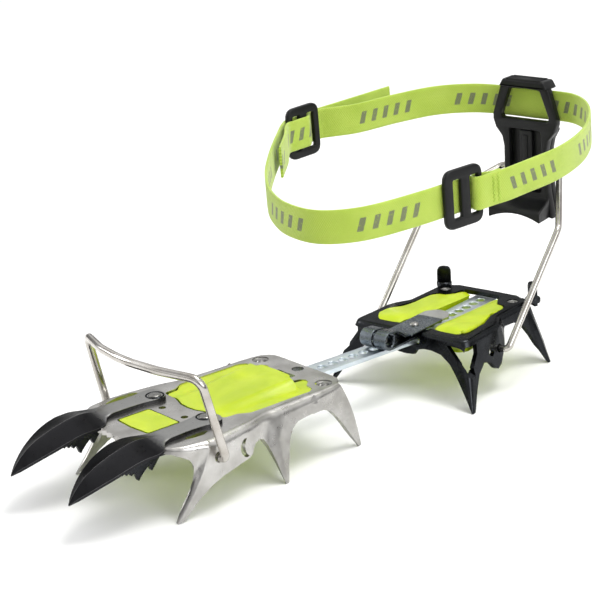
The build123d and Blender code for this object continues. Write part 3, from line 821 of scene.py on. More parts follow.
HEEL_STATIONS = [
    (2.0, 0, 13, 0, 3.0, 1, 0), (2.0, 26, 13, 37, 3.0, 1, 0), (2.0, 31, 13, 46.5, 3.0, 1, 0),
    (1.7, 34.4, 13, 49.4, 2.8, 1, 0), (0.2, 37.2, 12.8, 49.9, 2.6, 1, 0),
    (-2.4, 38.7, 12.0, 50.1, 2.6, 1, 0), (-7, 39, 5.6, 49.0, 3.0, 1, 0), (-13, 39, -3, 48.0, 3.6, 1, 0),
    (-21, 39, -15, 46.3, 3.6, 1, 0), (-30, 39, -29, 44.1, 3.6, 1, 0), (-36, 37, -38, 43.2, 3.6, 1, 0),
    (-44, 32, -48, 41.3, 3.6, 1, 0), (-60, 31.7, -64, 41.6, 3.6, 1, 0),
    (-72, 31.5, -77.6, 42.3, 3.6, 1, 0), (-76, 30.6, -80.2, 42.0, 3.4, 1, 0),
    (-78.2, 28.6, -85, 39.5, 3.2, 1, 0), (-79, 26.0, -88, 36, 3.0, 1, 0),
]
HEEL_FRONT_LOW = straight([
    (0, 24.6), (5.4, 25), (7.2, 27.8), (12, 28.8), (17, 28.9), (24, 27.6), (30.8, 23.4), (37.4, 16),
    (44.1, 7.4), (49.4, 0), (60, 0),
])
HEEL_SIDE_LOW = straight([
    (-79.4, 0), (-76.4, 0), (-73.5, 8), (-68.5, 19), (-63.5, 26.4), (-58, 29.6), (-46, 30.6),
    (-41, 27.8), (-38, 24.4), (-31.5, 17.8), (-28.5, 14.6), (-24.6, 13.4), (-21.8, 14.8), (-17, 19.7),
    (-10.7, 21.4), (-3.5, 17.2), (2.3, 10), (9.6, 0), (13.2, 0), (13.3, -5), (30, -5),
])
HEEL_REAR_LOW = straight([(-88, 22), (-84.5, 17), (-81.4, 7), (-79.2, 0), (30, 0)])


def heel_low(out, p):
    """Lowest height of the heel frame's flange at a place, for the way the flange faces there."""
    front = HEEL_FRONT_LOW(p.y) if out.x > 0.1 else 0.0
    return max(front, HEEL_SIDE_LOW(p.x), HEEL_REAR_LOW(p.x))


def heel_press(x, z):
    """How far the heel frame's flange is pressed outwards at the rear teeth."""
    return 1.3 * bump_at(x, -71.5 - (TOP - z) * 0.17, 2.4) * clamp((32 - z) / 10)


def build_heel_frame():
    """Black heel frame."""
    folds = [Fold(HEEL_STATIONS, side, heel_low, heel_press, -1) for side in (1, -1)]
    outline = mirrored(folds[0].rim() + [(-79.6, 20), (-79.8, 0)])
    opening = [
        (-3.6, 0, 0.2), (-3.6, 8.8, 1), (-6.6, 9.4, 1), (-6.6, 26.5, 3), (-11, 30.8, 4), (-29, 31.0, 4),
        (-42, 26.6, 5), (-55, 26.2, 3), (-60.8, 24.0, 3), (-61.6, 18.5, 3), (-67.2, 15.0, 3),
        (-74.6, 13.4, 3), (-75, 0, 1),
    ]
    holes = [rounded(mirrored(opening), 1.5)]
    for side in (1, -1):
        holes.append(circle(HEEL_RIVET_PLACE[0], side * HEEL_RIVET_PLACE[1], 3.4, 26))
    body = pressed_frame("heel_frame_sheet", folds, outline, holes, BLACK, HEEL)
    x, z = HEEL_PIVOT
    cutters = [
        y_prism(circle(x, z, 2.5), *ACROSS, HEEL),
        y_prism(circle(x + 8.6, z + 0.6, 2.7), *ACROSS, HEEL),
        x_prism([(-8.4, 30.2), (8.4, 30.2), (8.4, 34.4), (-8.4, 34.4)], -6, 16, HEEL),
    ]
    front_gap = [(26.5, 33.4), (29, 31.4), (35.6, 25.6), (44.4, 17.6), (53, 33.4)]
    side_gap = [(4.9, 18.6), (-0.3, 22.9), (-5.8, 28.0), (-7.3, 33.4), (1.4, 33.4)]
    for side in (1, -1):
        mirror = HEEL @ Matrix.Scale(side, 4, (0, 1, 0))
        cutters.append(x_prism(front_gap, 0.8, 20, mirror))
        cutters.append(y_prism(side_gap, 37, 60, mirror))
    cut(body, cutters)
    finish_edges(body, bevel=0.4, angle=38)
    assign(body, "heel_unit", "heel_frame")
    for side, tag in SIDES:
        arch = [(-4.2, 33.2, 0.5), (4.2, 33.2, 0.5), (4.2, 47.3, 4.1), (-4.2, 47.3, 4.1)]
        upright = rounded(arch, 4, 8)
        corner = HEEL @ Matrix.Scale(side, 4, (0, 1, 0)) @ Matrix.Translation((-79.5, 31.4, 0))
        stand = Matrix(((1, 0, 0, 0), (0, 0, 1, 0), (0, 1, 0, 0), (0, 0, 0, 1)))
        turn = Matrix.Rotation(radians(61), 4, "Z")
        tab = plate(f"rear_tab_{tag}", [upright], -1.2, 1.2, BLACK, corner @ turn @ stand, 0.5)
        foot = plate(f"rear_tab_foot_{tag}", [circle(0, 0, 4.6)], 34.6, 37.9, BLACK, corner, 0.9)
        for piece in (tab, foot):
            assign(piece, "heel_unit")


# ---- front points ----------------------------------------------------------------------------
def blade_sections():
    """Cross-sections of a front point: (x, half width, ridge height, edge height)."""
    half = through([
        (69.2, 2.4), (70.2, 5.2), (73.0, 7.2), (77, 7.4), (84, 6.3), (92, 6.0), (104, 6.4),
        (108.5, 7.6), (112, 11.4), (114.5, 13.9), (119.5, 15.4), (126, 15.1), (131, 14.5), (136, 13.8),
        (141, 12.7), (146, 11.0), (151, 8.8), (156, 6.0), (160.5, 2.9), (163.8, 0.3),
    ])
    ridge = through([
        (67, 39.4), (104, 39.4), (110, 39.9), (116, 41.0), (121, 41.4), (126, 41.0), (133, 39.6),
        (143, 36.8), (151.8, 32.8), (158.2, 27.7), (162.9, 22.4), (163.8, 21.3),
    ])
    edge = through([
        (67, 39.3), (103, 39.3), (109, 38.6), (114.5, 37.6), (120, 37.5), (125, 37.4), (130, 36.7),
        (135, 35.4), (140, 33.7), (145, 31.7), (150, 29.5), (155, 26.9), (160, 23.9), (163.8, 20.8),
    ])
    xs = spread(69.2, 108, 1.3) + spread(108.6, 163.8, 1.0)
    return [(x, half(x), ridge(x), edge(x)) for x in xs]


BLADE_STEPS = [-8, -7.8, -7, -6, -5, -4, -3, -2, -1, -0.2, 0, 0.2, 1, 2, 3, 4, 5, 6, 7, 7.8, 8]


def build_front_point(side, tag):
    """A front point: riveted arm and hooded blade with a sharp ridge and hollow-ground flanks."""
    sections = []
    for x, half, ridge, edge in blade_sections():
        crown = clamp((x - 106) / 8)
        thick = 1.5 * min(1.0, half / 4 + 0.15)
        ring = []
        for k in BLADE_STEPS:
            t = abs(k) / 8
            fall = t**0.86 * crown + t**8 * (1 - crown)
            ring.append((x, half * k / 8, ridge + (edge - ridge) * fall))
        ring.append((x, half, edge - 0.35))
        for k in range(8, -9, -2):
            t = abs(k) / 8
            under = edge - thick + (ridge - edge) * 0.8 * (1 - t) * crown
            if x < 112 or (x < 119 and t < 0.95):
                under = TOP if x < 112 else max(under, TOP)
            ring.append((x, half * k / 8 * 0.99, under))
        ring.append((x, -half, edge - 0.35))
        sections.append(ring)
    place = at(FRONT, 0, side * 22.6, 0) @ Matrix.Rotation(radians(1.2 * side), 4, "Z")
    blade = loft(f"front_point_{tag}_blade", sections, POINT, place)
    fade_and_ridge_highlight = blade.data.attributes.new("fade_and_ridge_highlight", "FLOAT", "POINT")
    around = len(sections[0])
    values = []
    for i in range(len(blade.data.vertices)):
        x, y, z = sections[i // around][i % around]
        value = clamp((x - 105) / 15)
        step = i % around
        # Painted highlight: the ridge line and both blade edges are kept lighter grey than the black
        # blade around them.
        if step in (0, 10, 20):
            value = min(value, 0.46)
        if step > 20 and x < 113:
            value = 0.62
        values.append(value)
    fade_and_ridge_highlight.data.foreach_set("value", values)
    finish_edges(sharpen(blade, 28), 0.22, angle=50)
    assign(blade, "front_unit", f"front_point_{tag}")


def build_teeth(side, tag):
    """Serrated comb under a front point."""
    comb = [
        (107.5, 36.4), (108.2, 30), (110.5, 27.2), (114.0, 23.2), (115.4, 26.8), (118.4, 24.6),
        (121.2, 21.8), (122.3, 20.2), (123.5, 23.6), (124.8, 25.4), (126.4, 24.2), (127.5, 26.8),
        (129.2, 25.2), (130.3, 27.4), (131.9, 25.9), (133.0, 28.0), (134.6, 26.6), (135.8, 28.6),
        (140.5, 29.4), (139, 31.2), (128, 35.2), (119, 36.2),
    ]
    place = at(FRONT, 0, side * 25.6, 0) @ UPRIGHT
    piece = plate(f"secondary_teeth_{tag}_comb", [rounded(comb, 0.35, 3)], -1.5, 1.5, BLACK, place, 0.35)
    low, high = side * 26 - 5, side * 26 + 5
    block = [(low, 31.2), (high, 31.2), (high, 34.2), (low, 34.2)]
    ends = [[(x, y, z) for y, z in block] for x in (96, 111)]
    foot = finish_edges(loft("foot", ends, BLACK, FRONT), 0.3, 3)
    piece = join(f"secondary_teeth_{tag}_piece", [piece, foot])
    assign(piece, "front_unit", f"secondary_teeth_{tag}")


# ---- rivets ----------------------------------------------------------------------------------
ARM_TOP = 39.4


def build_rivets():
    """Turned rivet heads: low domes in a ring on the front points, dished seats elsewhere."""
    seat = [
        (0.7, -0.6), (1.0, -0.25), (1.9, -0.15), (2.2, -0.5), (2.6, -0.95), (3.1, -0.6), (3.9, -0.35),
        (4.2, -0.8), (4.68, -0.55), (4.7, -2.8), (2.4, -3.2), (2.4, -4.6),
    ]
    domed = [
        (0.5, 0.35), (0.8, 0.7), (2.3, 0.8), (2.9, 0.65), (3.3, 0.3), (3.4, -0.4), (2.4, -1.4),
        (2.4, -6.0),
    ]
    for name, body, place, x, y, z, profile in (
        ("front_frame_rivets", "front_unit", FRONT, *REAR_RIVET_PLACE, TOP - 0.1, seat),
        ("front_point_rivets", "front_unit", FRONT, *FRONT_RIVET_PLACE, ARM_TOP, domed),
        ("heel_rivets", "heel_unit", HEEL, *HEEL_RIVET_PLACE, TOP - 0.1, [(r * 0.7, h) for r, h in seat]),
    ):
        heads = []
        for side in (1, -1):
            where = at(place, x, side * y, z)
            heads.append(lathe(f"{name}_{side}", profile, RIVET, where))
        piece = join(f"{name}_turned", heads)
        assign(piece, body, name)
    collar = [
        (3.42, 0.0), (3.6, -0.25), (4.1, -0.2), (4.3, 0.25), (4.7, 0.42), (5.1, 0.2), (5.3, -0.3),
        (5.0, -1.0),
    ]
    x, y = FRONT_RIVET_PLACE
    rings = []
    for side in (1, -1):
        where = at(FRONT, x, side * y, ARM_TOP)
        rings.append(lathe(f"collar_{side}", collar, BLACK, where))
    piece = join("front_point_collars", rings)
    assign(piece, "front_unit")


# ---- anti-balling plates ---------------------------------------------------------------------
def sculpted(name, outline, height, low, material, place, step=1.6, hem=1.2):
    """A soft plate over an outline, whose upper face follows height(x, y) and rolls down at its rim."""
    bm = bmesh.new()
    loop = [bm.verts.new((x, y, 0)) for x, y in outline]
    bm.faces.new(loop)
    for axis, values in zip((Vector((1, 0, 0)), Vector((0, 1, 0))), zip(*outline)):
        for value in spread(min(values), max(values), step)[1:-1]:
            everything = bm.verts[:] + bm.edges[:] + bm.faces[:]
            bmesh.ops.bisect_plane(bm, geom=everything, plane_co=axis * value, plane_no=axis)
    bmesh.ops.triangulate(bm, faces=[f for f in bm.faces if len(f.verts) > 4])
    rim = [e for e in bm.edges if e.is_boundary]
    for vertex in bm.verts:
        vertex.co.z = height(vertex.co.x, vertex.co.y)
    for reach, drop in ((hem * 0.35, hem * 0.12), (hem * 0.35, hem * 0.35), (hem * 0.3, hem)):
        made = bmesh.ops.extrude_edge_only(bm, edges=rim)["geom"]
        rim = [g for g in made if isinstance(g, bmesh.types.BMEdge) and g.is_boundary]
        moved = {v for e in rim for v in e.verts}
        push = {}
        for vertex in moved:
            near = [e for e in vertex.link_edges if e in rim]
            normal = Vector((0, 0, 0))
            for e in near:
                a, b = e.verts
                along = (b.co - a.co).normalized()
                side = Vector((along.y, -along.x, 0))
                inner = next(f for f in e.link_faces).calc_center_median()
                if side.dot((a.co + b.co) / 2 - inner) < 0:
                    side = -side
                normal += side
            push[vertex] = normal.normalized() * reach if normal.length else normal
        for vertex, offset in push.items():
            vertex.co += Vector((offset.x, offset.y, -drop))
    made = bmesh.ops.extrude_edge_only(bm, edges=rim)["geom"]
    for g in made:
        if isinstance(g, bmesh.types.BMVert):
            g.co.z = low
    bottom = [g for g in made if isinstance(g, bmesh.types.BMEdge) and g.is_boundary]
    bmesh.ops.contextual_create(bm, geom=bottom)
    bmesh.ops.recalc_face_normals(bm, faces=bm.faces)
    return sharpen(link(name, from_bmesh(name, bm), material, place), 50)


SOFT_BASE = (31.0, 33.8)  # under the front frame's plate
SOFT_SEAM = 33.0  # where a sculpted panel meets its base


def build_front_plates():
    """Lime front plate with its wedge-shaped panel, and the insert between the points."""

    def panel_height(x, y):
        rise = clamp((64 - x) / 50)
        edge_in = 17.0 - (1 - rise) * 4.0
        crest = 37.0 + 4.2 * rise
        flank = 36.2 + 0.2 * rise
        t = clamp((abs(y) - edge_in) / 7.5)
        if x < 14:
            t = max(t, min(1.0, (14 - x) / 2.4 * max(0.0, (abs(y) - 12) / 2)))
        z = crest + (flank - crest) * t * t * (3 - 2 * t)
        z -= 0.9 * bump_at(x, 52, 7) * bump_at(abs(y), 21, 6)
        z -= 0.7 * bump_at(x, 30, 9) * bump_at(y, -6, 6)
        return z

    half = [
        (11, 0, 0.1), (11.4, 13.2, 1.0), (1.6, 14.6, 1.0), (1.6, 22.6, 1.0), (8.4, 31.6, 3),
        (28, 31.8, 3), (44, 31.8, 5), (52, 31.2, 4), (57.6, 26.0, 3), (65.5, 24.8, 3), (66.2, 14.6, 5),
        (69.4, 6, 8), (69.9, 0, 3),
    ]
    outline = rounded(mirrored(half), 1.5)
    panel = sculpted("front_plate_panel", outline, panel_height, SOFT_SEAM, LIME, FRONT, hem=0.8)
    base = [
        (11.4, 0, 1), (11.4, 13, 1), (1.6, 14.8, 1), (1.6, 22, 2), (8, 30, 2), (66, 30, 2), (71, 20, 2),
        (72, 0, 1),
    ]
    under = plate("front_plate_base", [rounded(mirrored(base), 2)], *SOFT_BASE, LIME, FRONT, 0.6)
    piece = join("front_anti_ball_skin", [panel, under])
    assign(piece, "front_unit", "front_anti_ball_plate")

    half = [(85.8, 0, 0.1), (85.8, 13.0, 1.2), (105.0, 13.0, 1.2), (106.2, 0, 1)]
    crown = lambda x, y: 37.3 - 0.02 * abs(y)
    outline = rounded(mirrored(half), 1.2)
    block = sculpted("front_insert_block", outline, crown, SOFT_SEAM, LIME, FRONT, hem=0.6)
    base = [(77.5, 0), (77.5, 17), (79, 40), (93, 40), (99, 36), (108, 17), (108, 0)]
    under = plate("front_insert_base", [rounded(mirrored(base), 2)], *SOFT_BASE, LIME, FRONT, 0.6)
    piece = join("front_insert_skin", [block, under])
    assign(piece, "front_unit", "front_anti_ball_insert")


def build_heel_plate():
    """Lime heel plate with two crowned pads."""
    base = [(-77, 0), (-77, 22), (-70, 28), (-44, 28), (-36, 32), (-8, 33), (-4, 30), (-4, 0)]
    parts = [plate("heel_plate_base", [rounded(mirrored(base), 2)], 27.4, 30.4, LIME, HEEL, 0.6)]

    def pad_height(x, y):
        slope = 38.4 - 1.9 * clamp((-x - 18) / 46)
        swell = 0.8 * bump_at(x, -15, 8) * bump_at(abs(y), 20, 9)
        dish = -0.9 * bump_at(x, -33, 8) * bump_at(abs(y), 28, 8)
        fall = -1.8 * clamp((x + 11.5) / 6) ** 2
        side = -2.2 * bump_at(abs(y), 8.0, 4.2) - 0.5 * bump_at(x, -74.4, 3)
        return slope + swell + dish + fall + side

    shape = [
        (-5.6, 12.4, 4), (-5.6, 27.0, 6), (-12, 30.4, 5), (-22, 30.2, 4), (-30, 28.0, 5),
        (-41, 25.2, 6), (-56, 25.0, 3), (-60.4, 22.6, 3), (-61.2, 18.0, 3), (-66.6, 14.6, 3),
        (-74.4, 13.0, 2), (-74.4, 8.6, 1), (-20, 9.6, 4),
    ]
    for side in (1, -1):
        loop = rounded([(x, side * y, r) for x, y, r in shape], 2)
        parts.append(sculpted(f"heel_pad_{side}", loop, pad_height, 29.8, LIME, HEEL, hem=1.0))
    piece = join("heel_anti_ball_skin", parts)
    assign(piece, "heel_unit", "heel_anti_ball_plate")


# ---- linking bar, clip and bails -------------------------------------------------------------
def build_bar():
    """Perforated bar with rounded edges and its T head."""
    half = 7.25
    back = FRONT.inverted() @ HEEL

    def front_xy(x, y):
        point = back.inverted() @ Vector((x, y, 0))
        return (point.x, point.y)

    head = [
        (10.2, half, 0.6), (10.2, 11, 0.8), (12.9, 11, 1), (12.9, -11, 1), (10.2, -11, 0.8),
        (10.2, -half, 0.6),
    ]
    outline = [(-78, half, 1.2), (-0.73, half, 3)]
    outline += [(*front_xy(x, y), radius) for x, y, radius in head]
    outline += [(0.73, -half, 3), (-78, -half, 1.2)]
    loops = [rounded(outline, 1)]
    for i in range(10):
        loops.append(circle(-4 - 7.5 * i, 0, 2.75))
    for i in range(7):
        loops.append(circle(*front_xy(-14.4 - 7.5 * i, 0), 2.75))
    piece = plate("link_bar_strip", loops, BAR_TOP - BAR_THICK, BAR_TOP, ZINC, HEEL, 0.18)
    assign(piece, "link_bar", "link_bar")


def wire_bail(body, place, pivot, left, bends, radius, seat, size):
    """A bent wire from its left half, riveted over at its ends, which sit in the frame's flanges."""
    right = [(a, -b, c) for a, b, c in reversed(left)]
    parts = [tube(f"{body}_run", left + right, radius, WIRE, place, bends + bends[::-1], 24)]
    turn = Matrix.Rotation(-pi / 2, 4, "X")
    head = [(1.6 * size, 0.9), (2.6 * size, 0.6), (3.1 * size, 0.1), (3.1 * size, -0.6)]
    for side in (1, -1):
        where = at(place, pivot[0], side * seat, pivot[1])
        where = where @ Matrix.Scale(-side, 4, (0, 1, 0)) @ turn
        parts.append(lathe(f"{body}_head_{side}", head, WIRE, where, 24))
    assign(join(f"{body}_wire", parts), body, body)


def build_bails():
    """Toe bail, whose cross bar bows forward, and heel bail."""
    x, y, z = 96.2, 49.0, 72.3
    bow = 11.0
    left = [(TOE_PIVOT[0], out, TOE_PIVOT[1]) for out in (41.5, 51.2)]
    left += [(x, y, z), (x + bow * 0.75, y * 0.5, z + 1.0), (x + bow, y * 0.12, z + 1.4)]
    wire_bail("toe_bail", FRONT, TOE_PIVOT, left, [3.6, 7.0, 40.0, 40.0], 2.3, 41.4, 1.0)
    left = [(HEEL_PIVOT[0], out, HEEL_PIVOT[1]) for out in (35.6, 46.6)]
    left += [(-84.7, 46.6, 80.6), (-129.5, 20.0, 100.0)]
    wire_bail("heel_bail", HEEL, HEEL_PIVOT, left, [3.2, 9.0, 5.0], 2.0, 35.4, 0.9)


CLIP = (28.3, -2.1, 40.2)
CLIP_NOSE = 5.0
CLIP_GAUGE = 1.3


def build_clip():
    """Adjuster clip: a sprung lever rolled into two loops, its tongue, pins and bare tip."""
    x, y, z = CLIP
    low, high = y - 8.8, y + 8.8
    arm_z = TOP + 1.0
    nose = []
    for k in range(25):
        a = radians(-200 + 310 * k / 24)
        r = CLIP_NOSE - CLIP_GAUGE / 2
        nose.append((x + r * cos(a), z + r * sin(a)))
    slope = [(x - 6.5, z + 3.4), (x - 10.5, z + 1.3), (x - 14.5, arm_z + 0.5), (x - 18.5, arm_z + 0.05)]
    loops = []
    for name, y_low, y_high in (("far", low, y - 0.9), ("near", y + 0.9, high)):
        loops.append(strip(f"clip_loop_{name}", nose + slope, y_low, y_high, CLIP_GAUGE, SPRING))
    arm_path = [(x - 18.0, arm_z + 0.05), (0, arm_z), (-20, arm_z)]
    arm = strip("clip_arm", arm_path, -8.5, 8.5, CLIP_GAUGE, SPRING)
    outline = [(-19.8, -8.5, 0.2), (-19.8, 8.5, 0.2), (-27, 8.5, 5)]
    outline += [(-32.6, 3.5, 5), (-32.6, -3.5, 5), (-27, -8.5, 5)]
    tip = plate("clip_tip", [rounded(outline, 3)], TOP + 0.35, TOP + 1.65, BARE, HEEL, 0.4)
    for piece in loops + [arm, tip]:
        assign(piece, "adjuster_clip")
    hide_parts("adjuster_clip")
    tongue_path = [(-0.6, TOP - 2.7), (8, TOP - 2.6), (x - 4, TOP - 2.5), (x + 0.5, TOP - 2.2)]
    tongue = strip("clip_tongue", tongue_path, low + 0.3, high - 0.3, 1.1, SPRING)
    curl = [(x + 3.0 * cos(radians(a)), z + 3.0 * sin(radians(a))) for a in range(-95, 236, 15)]
    eye = strip("clip_eye", curl, y - 0.7, y + 0.7, 1.1, SPRING)
    base = join("clip_base_spring", [tongue, eye])
    where = at(HEEL, x, y, z) @ Matrix.Rotation(pi / 2, 4, "X")
    pin = lathe("hinge_pin", [(1.2, 6.4), (1.5, 6.2), (1.5, -6.2), (1.2, -6.4)], RIVET, where, 24)
    assign(base, "heel_unit", "clip_base")
    assign(pin, "heel_unit", "clip_hinge_pin")
    head = [(0.8, 1.0), (1.7, 0.9), (2.4, 0.5), (2.6, 0.0), (2.6, -0.4), (2.0, -0.5), (2.0, -7.4)]
    lock = lathe("locking_pin_turned", head, RIVET, at(HEEL, -4, 0, TOP + 2.0), 28)
    assign(lock, "adjuster_clip", "locking_pin")


def strip(name, path, y_low, y_high, thick, material):
    """A spring-steel strip of even thickness along a path in x and z."""
    points = [Vector((px, pz)) for px, pz in path]
    rings = []
    for i, here in enumerate(points):
        along = direction(points, i)
        side = Vector((-along.y, along.x)) * (thick / 2)
        a, b = here + side, here - side
        rings.append([(a.x, y_low, a.y), (a.x, y_high, a.y), (b.x, y_high, b.y), (b.x, y_low, b.y)])
    return finish_edges(sharpen(loft(name, rings, material, HEEL), 40), 0.3, angle=40)


# ---- heel lever ------------------------------------------------------------------------------
LEVER_FLANK = [(16.2, 120), (14.9, 114), (14.9, 98), (15.8, 88), (18.4, 74)]
LEVER_FOOT = [(16.8, 72.2), (9, 75.6), (0, 76.6)]
LEVER_HEAD = [
    (0, 156), (11.6, 155.8), (15.6, 153.4), (17.2, 149), (22.2, 133.5), (22.2, 130), (20.4, 125),
]


def both_sides(half):
    """A loop from its right half, which starts at the top and has a radius of 2 at every corner."""
    left = [(-y, z, 2.0) for y, z in reversed(half) if y]
    return rounded([(y, z, 2.0) for y, z in half] + left, 2, 4)


def build_lever():
    """Heel lever: moulded shell with a raised rim, strap window, pocket and hooked ledge."""
    turn = Matrix(((0, 0, 1, 0), (1, 0, 0, 0), (0, 1, 0, 0), (0, 0, 0, 1)))
    place = HEEL @ turn
    window = [
        (0, 150.2, 0.1), (10.6, 149.8, 2), (16.8, 133.6, 2.4), (16.0, 131.4, 2), (0, 131.4, 0.1),
        (-16.0, 131.4, 2), (-16.8, 133.6, 2.4), (-10.6, 149.8, 2),
    ]
    pocket = oblong(-11, 11, 87.4, 125.2, 2)
    loops = [both_sides(LEVER_HEAD + LEVER_FLANK + [(18.7, 72)] + LEVER_FOOT), rounded(window, 2), pocket]
    front = plate("lever_front", loops, -128.4, -123.0, PLASTIC, place, 1.1)
    lower = both_sides([(20.4, 127.4)] + LEVER_FLANK + LEVER_FOOT)
    rear = plate("lever_rear", [lower], -133.0, -128.0, PLASTIC, place, 1.1)
    top = rounded([(14.2, 155.6, 2), (17.2, 150.6, 1), (-17.2, 150.6, 1), (-14.2, 155.6, 2)], 2)
    cap = plate("lever_cap", [top], -133.6, -121.6, PLASTIC, place, 1.5)
    ribs = []
    for k in range(6):
        low = -131.6 + 1.7 * k
        ridge = oblong(-11.6, 11.6, 155.2, 156.1, 0.3)
        ribs.append(plate(f"cap_rib_{k}", [ridge], low, low + 0.8, PLASTIC, place, 0.2))
    grip = join("lever_cap_ribs", ribs)
    bed = oblong(-12, 12, 86, 126.5, 1)
    floor = plate("lever_pocket_floor", [bed], -130, -127.2, PLASTIC, place, 0.3)
    ledge = []
    for x in spread(-124.0, -109.0, 1.5):
        t = (x + 124.0) / 15.0
        upper = 86.0 - 6.6 * (t ** 0.6) - 1.2 * max(0, t - 0.85) / 0.15
        half = 16.4 + 1.6 * t
        across = [-1 + k / 6 for k in range(13)]
        ring = [(x, half * y, upper - 0.6 * (1 - y**2)) for y in across]
        ring += [(x, half * y, 72.4 + 4.2 * (1 - y**2)) for y in reversed(across)]
        ledge.append(ring)
    hook = loft("lever_hook", ledge, PLASTIC, HEEL)
    finish_edges(sharpen(hook, 40), 0.8, 3, 40)
    for piece in (front, rear, cap, grip, floor, hook):
        assign(piece, "heel_lever")
    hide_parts("heel_lever")
    rib = plate("lever_rib_bar", [oblong(-4.4, 4.4, 88, 124.8, 1.2)], -127.0, -123.9, PLASTIC, place, 0.7)
    crest = oblong(-1.6, 1.6, 91, 122, 0.8)
    rib_top = plate("lever_rib_crest", [crest], -124.4, -123.2, PLASTIC, place, 0.4)
    rib = join("lever_rib_moulded", [rib, rib_top])
    assign(rib, "heel_lever", "lever_rib")


# ---- strap -----------------------------------------------------------------------------------
STRAP_X, STRAP_Z, STRAP_WIDTH, STRAP_THICK = -131.2, 140.0, 18.0, 1.6
LOOP = (
    HEEL
    @ Matrix.Translation((STRAP_X, 0, STRAP_Z))
    @ Matrix.Rotation(radians(2.3), 4, "Y")
    @ Matrix.Translation((-STRAP_X, 0, 0))
)
LADDER = (37.5, 64.5, -14.0)
SLIDER = (-28.0, -93.0, 172.0)
LAYER = 2.7


def beside(place, along, out):
    """A plan point measured along and out from a buckle's centre."""
    x, y, heading = place
    a = radians(heading)
    return (x + along * cos(a) - out * sin(a), y + along * sin(a) + out * cos(a))


def smooth_path(points, step=1.5):
    """Evenly spaced plan points along a smooth curve through the given ones."""
    dense = []
    count = len(points)
    for i in range(count - 1):
        p0 = Vector(points[max(i - 1, 0)][:2])
        p1 = Vector(points[i][:2])
        p2 = Vector(points[i + 1][:2])
        p3 = Vector(points[min(i + 2, count - 1)][:2])
        gap = (p2 - p1).length
        d0, d1, d2 = sqrt((p1 - p0).length) or 1, sqrt(gap) or 1, sqrt((p3 - p2).length) or 1
        straight_on = (p2 - p1) / d1
        m1 = straight_on if i == 0 else (p1 - p0) / d0 - (p2 - p0) / (d0 + d1) + straight_on
        m2 = straight_on if i == count - 2 else straight_on - (p3 - p1) / (d1 + d2) + (p3 - p2) / d2
        m1, m2 = m1 * d1, m2 * d1
        steps = max(2, ceil(gap / step))
        for k in range(steps):
            t = k / steps
            ends = p1 * (2 * t**3 - 3 * t * t + 1) + p2 * (3 * t * t - 2 * t**3)
            dense.append(ends + m1 * (t**3 - 2 * t * t + t) + m2 * (t**3 - t * t))
    dense.append(Vector(points[-1][:2]))
    return dense


def strap_mesh(name, points, phase):
    """Webbing on edge along a plan path, with its run in millimetres. phase shifts the printed marks."""
    path = smooth_path(points)
    across = [-1.0, -0.94, -0.8, -0.6, -0.4, -0.2, 0.0, 0.2, 0.4, 0.6, 0.8, 0.94, 1.0]
    profile = [(t, 1) for t in across] + [(t, -1) for t in reversed(across)]
    rings, spots = [], []
    run = 0.0
    for i, here in enumerate(path):
        if i:
            run += (here - path[i - 1]).length
        along = direction(path, i)
        ring = []
        for t, face in profile:
            height = t * STRAP_WIDTH / 2
            thin = STRAP_THICK / 2 * (0.55 if abs(t) > 0.97 else 1.0 if abs(t) < 0.9 else 0.92)
            ring.append((here.x - along.y * face * thin, here.y + along.x * face * thin, height))
            spots.append((run + phase, height))
        rings.append(ring)
    strap = loft(name, rings, WEBBING, LOOP)
    layer = strap.data.uv_layers.new(name="strap")
    for corner in strap.data.loops:
        layer.data[corner.index].uv = spots[corner.vertex_index]
    return sharpen(strap, 60), run


def build_strap():
    """Both webbings, their stitching and the two buckles."""
    # The near end goes round the buckle's end bar and back behind itself, where it is stitched down.
    fold = [
        (-26, 0.6), (-19, 0.3), (-15.5, -1.6), (-11.8, -2.6), (-8.7, -2.0), (-7.4, 0.1), (-8.7, 2.3),
        (-11.8, 2.8), (-16, 2.5), (-21, 2.4), (-28, LAYER),
    ]
    near = [beside(LADDER, along, out) for along, out in fold]
    turn = [(-4, 76), (-34, 79), (-68, 73.5), (-100, 59), (-121, 43), (-130, 29)]
    lever = [(STRAP_X, 17), (STRAP_X, 0), (STRAP_X, -17)]
    far = [(-128, -38), (-115, -57), (-90, -70), (-62, -80)]
    weave_in = [
        (17, 2.6), (12.5, 2.7), (8.8, 2.5), (5.7, 0.2), (2.6, -2.4), (-2, -LAYER), (-9, -LAYER),
        (-14, -2.9),
    ]
    end = [beside(SLIDER, along, out) for along, out in weave_in]
    inner = [(6, -78.5), (28, -64.5)]
    rear, rear_length = strap_mesh("rear_webbing_weave", near + turn + lever + far + end + inner, 20.0)
    near = [beside(LADDER, along, -LAYER) for along in (-8, 4, 12, 24)]
    turn = [(96.5, 42), (109, 25), (106, 3), (92, -19), (72, -38.5), (49, -56), (10, -81.5)]
    over = [(-10, LAYER), (-2, 2.9), (5, 3.9), (12, 4.6), (18, 4.9)]
    end = [beside(SLIDER, along, out) for along, out in over]
    tail = [(-62, -92.5), (-82, -89), (-104, -85)]
    front, front_length = strap_mesh("front_webbing_weave", near + turn + end + tail, 30.0)
    straps = ((rear, "rear_webbing", rear_length), (front, "front_webbing", front_length))
    for piece, node, length in straps:
        assign(piece, "heel_lever", node)
    build_buckles()
    build_stitches()


def buckle_piece(name, place, length, height, slots, node):
    """A moulded buckle: a rounded plate with upright slots."""
    x, y, heading = place
    where = at(LOOP, x, y, 0) @ Matrix.Rotation(radians(heading), 4, "Z") @ UPRIGHT
    outline = oblong(-length / 2, length / 2, -height / 2, height / 2, 6, 8)
    holes = []
    for middle, width in slots:
        tall = STRAP_WIDTH / 2 + 1.5
        holes.append(oblong(middle - width / 2, middle + width / 2, -tall, tall, 1.0))
    piece = plate(name, [outline] + holes, -1.5, 1.5, PLASTIC, where, 0.9)
    assign(piece, "heel_lever", node)


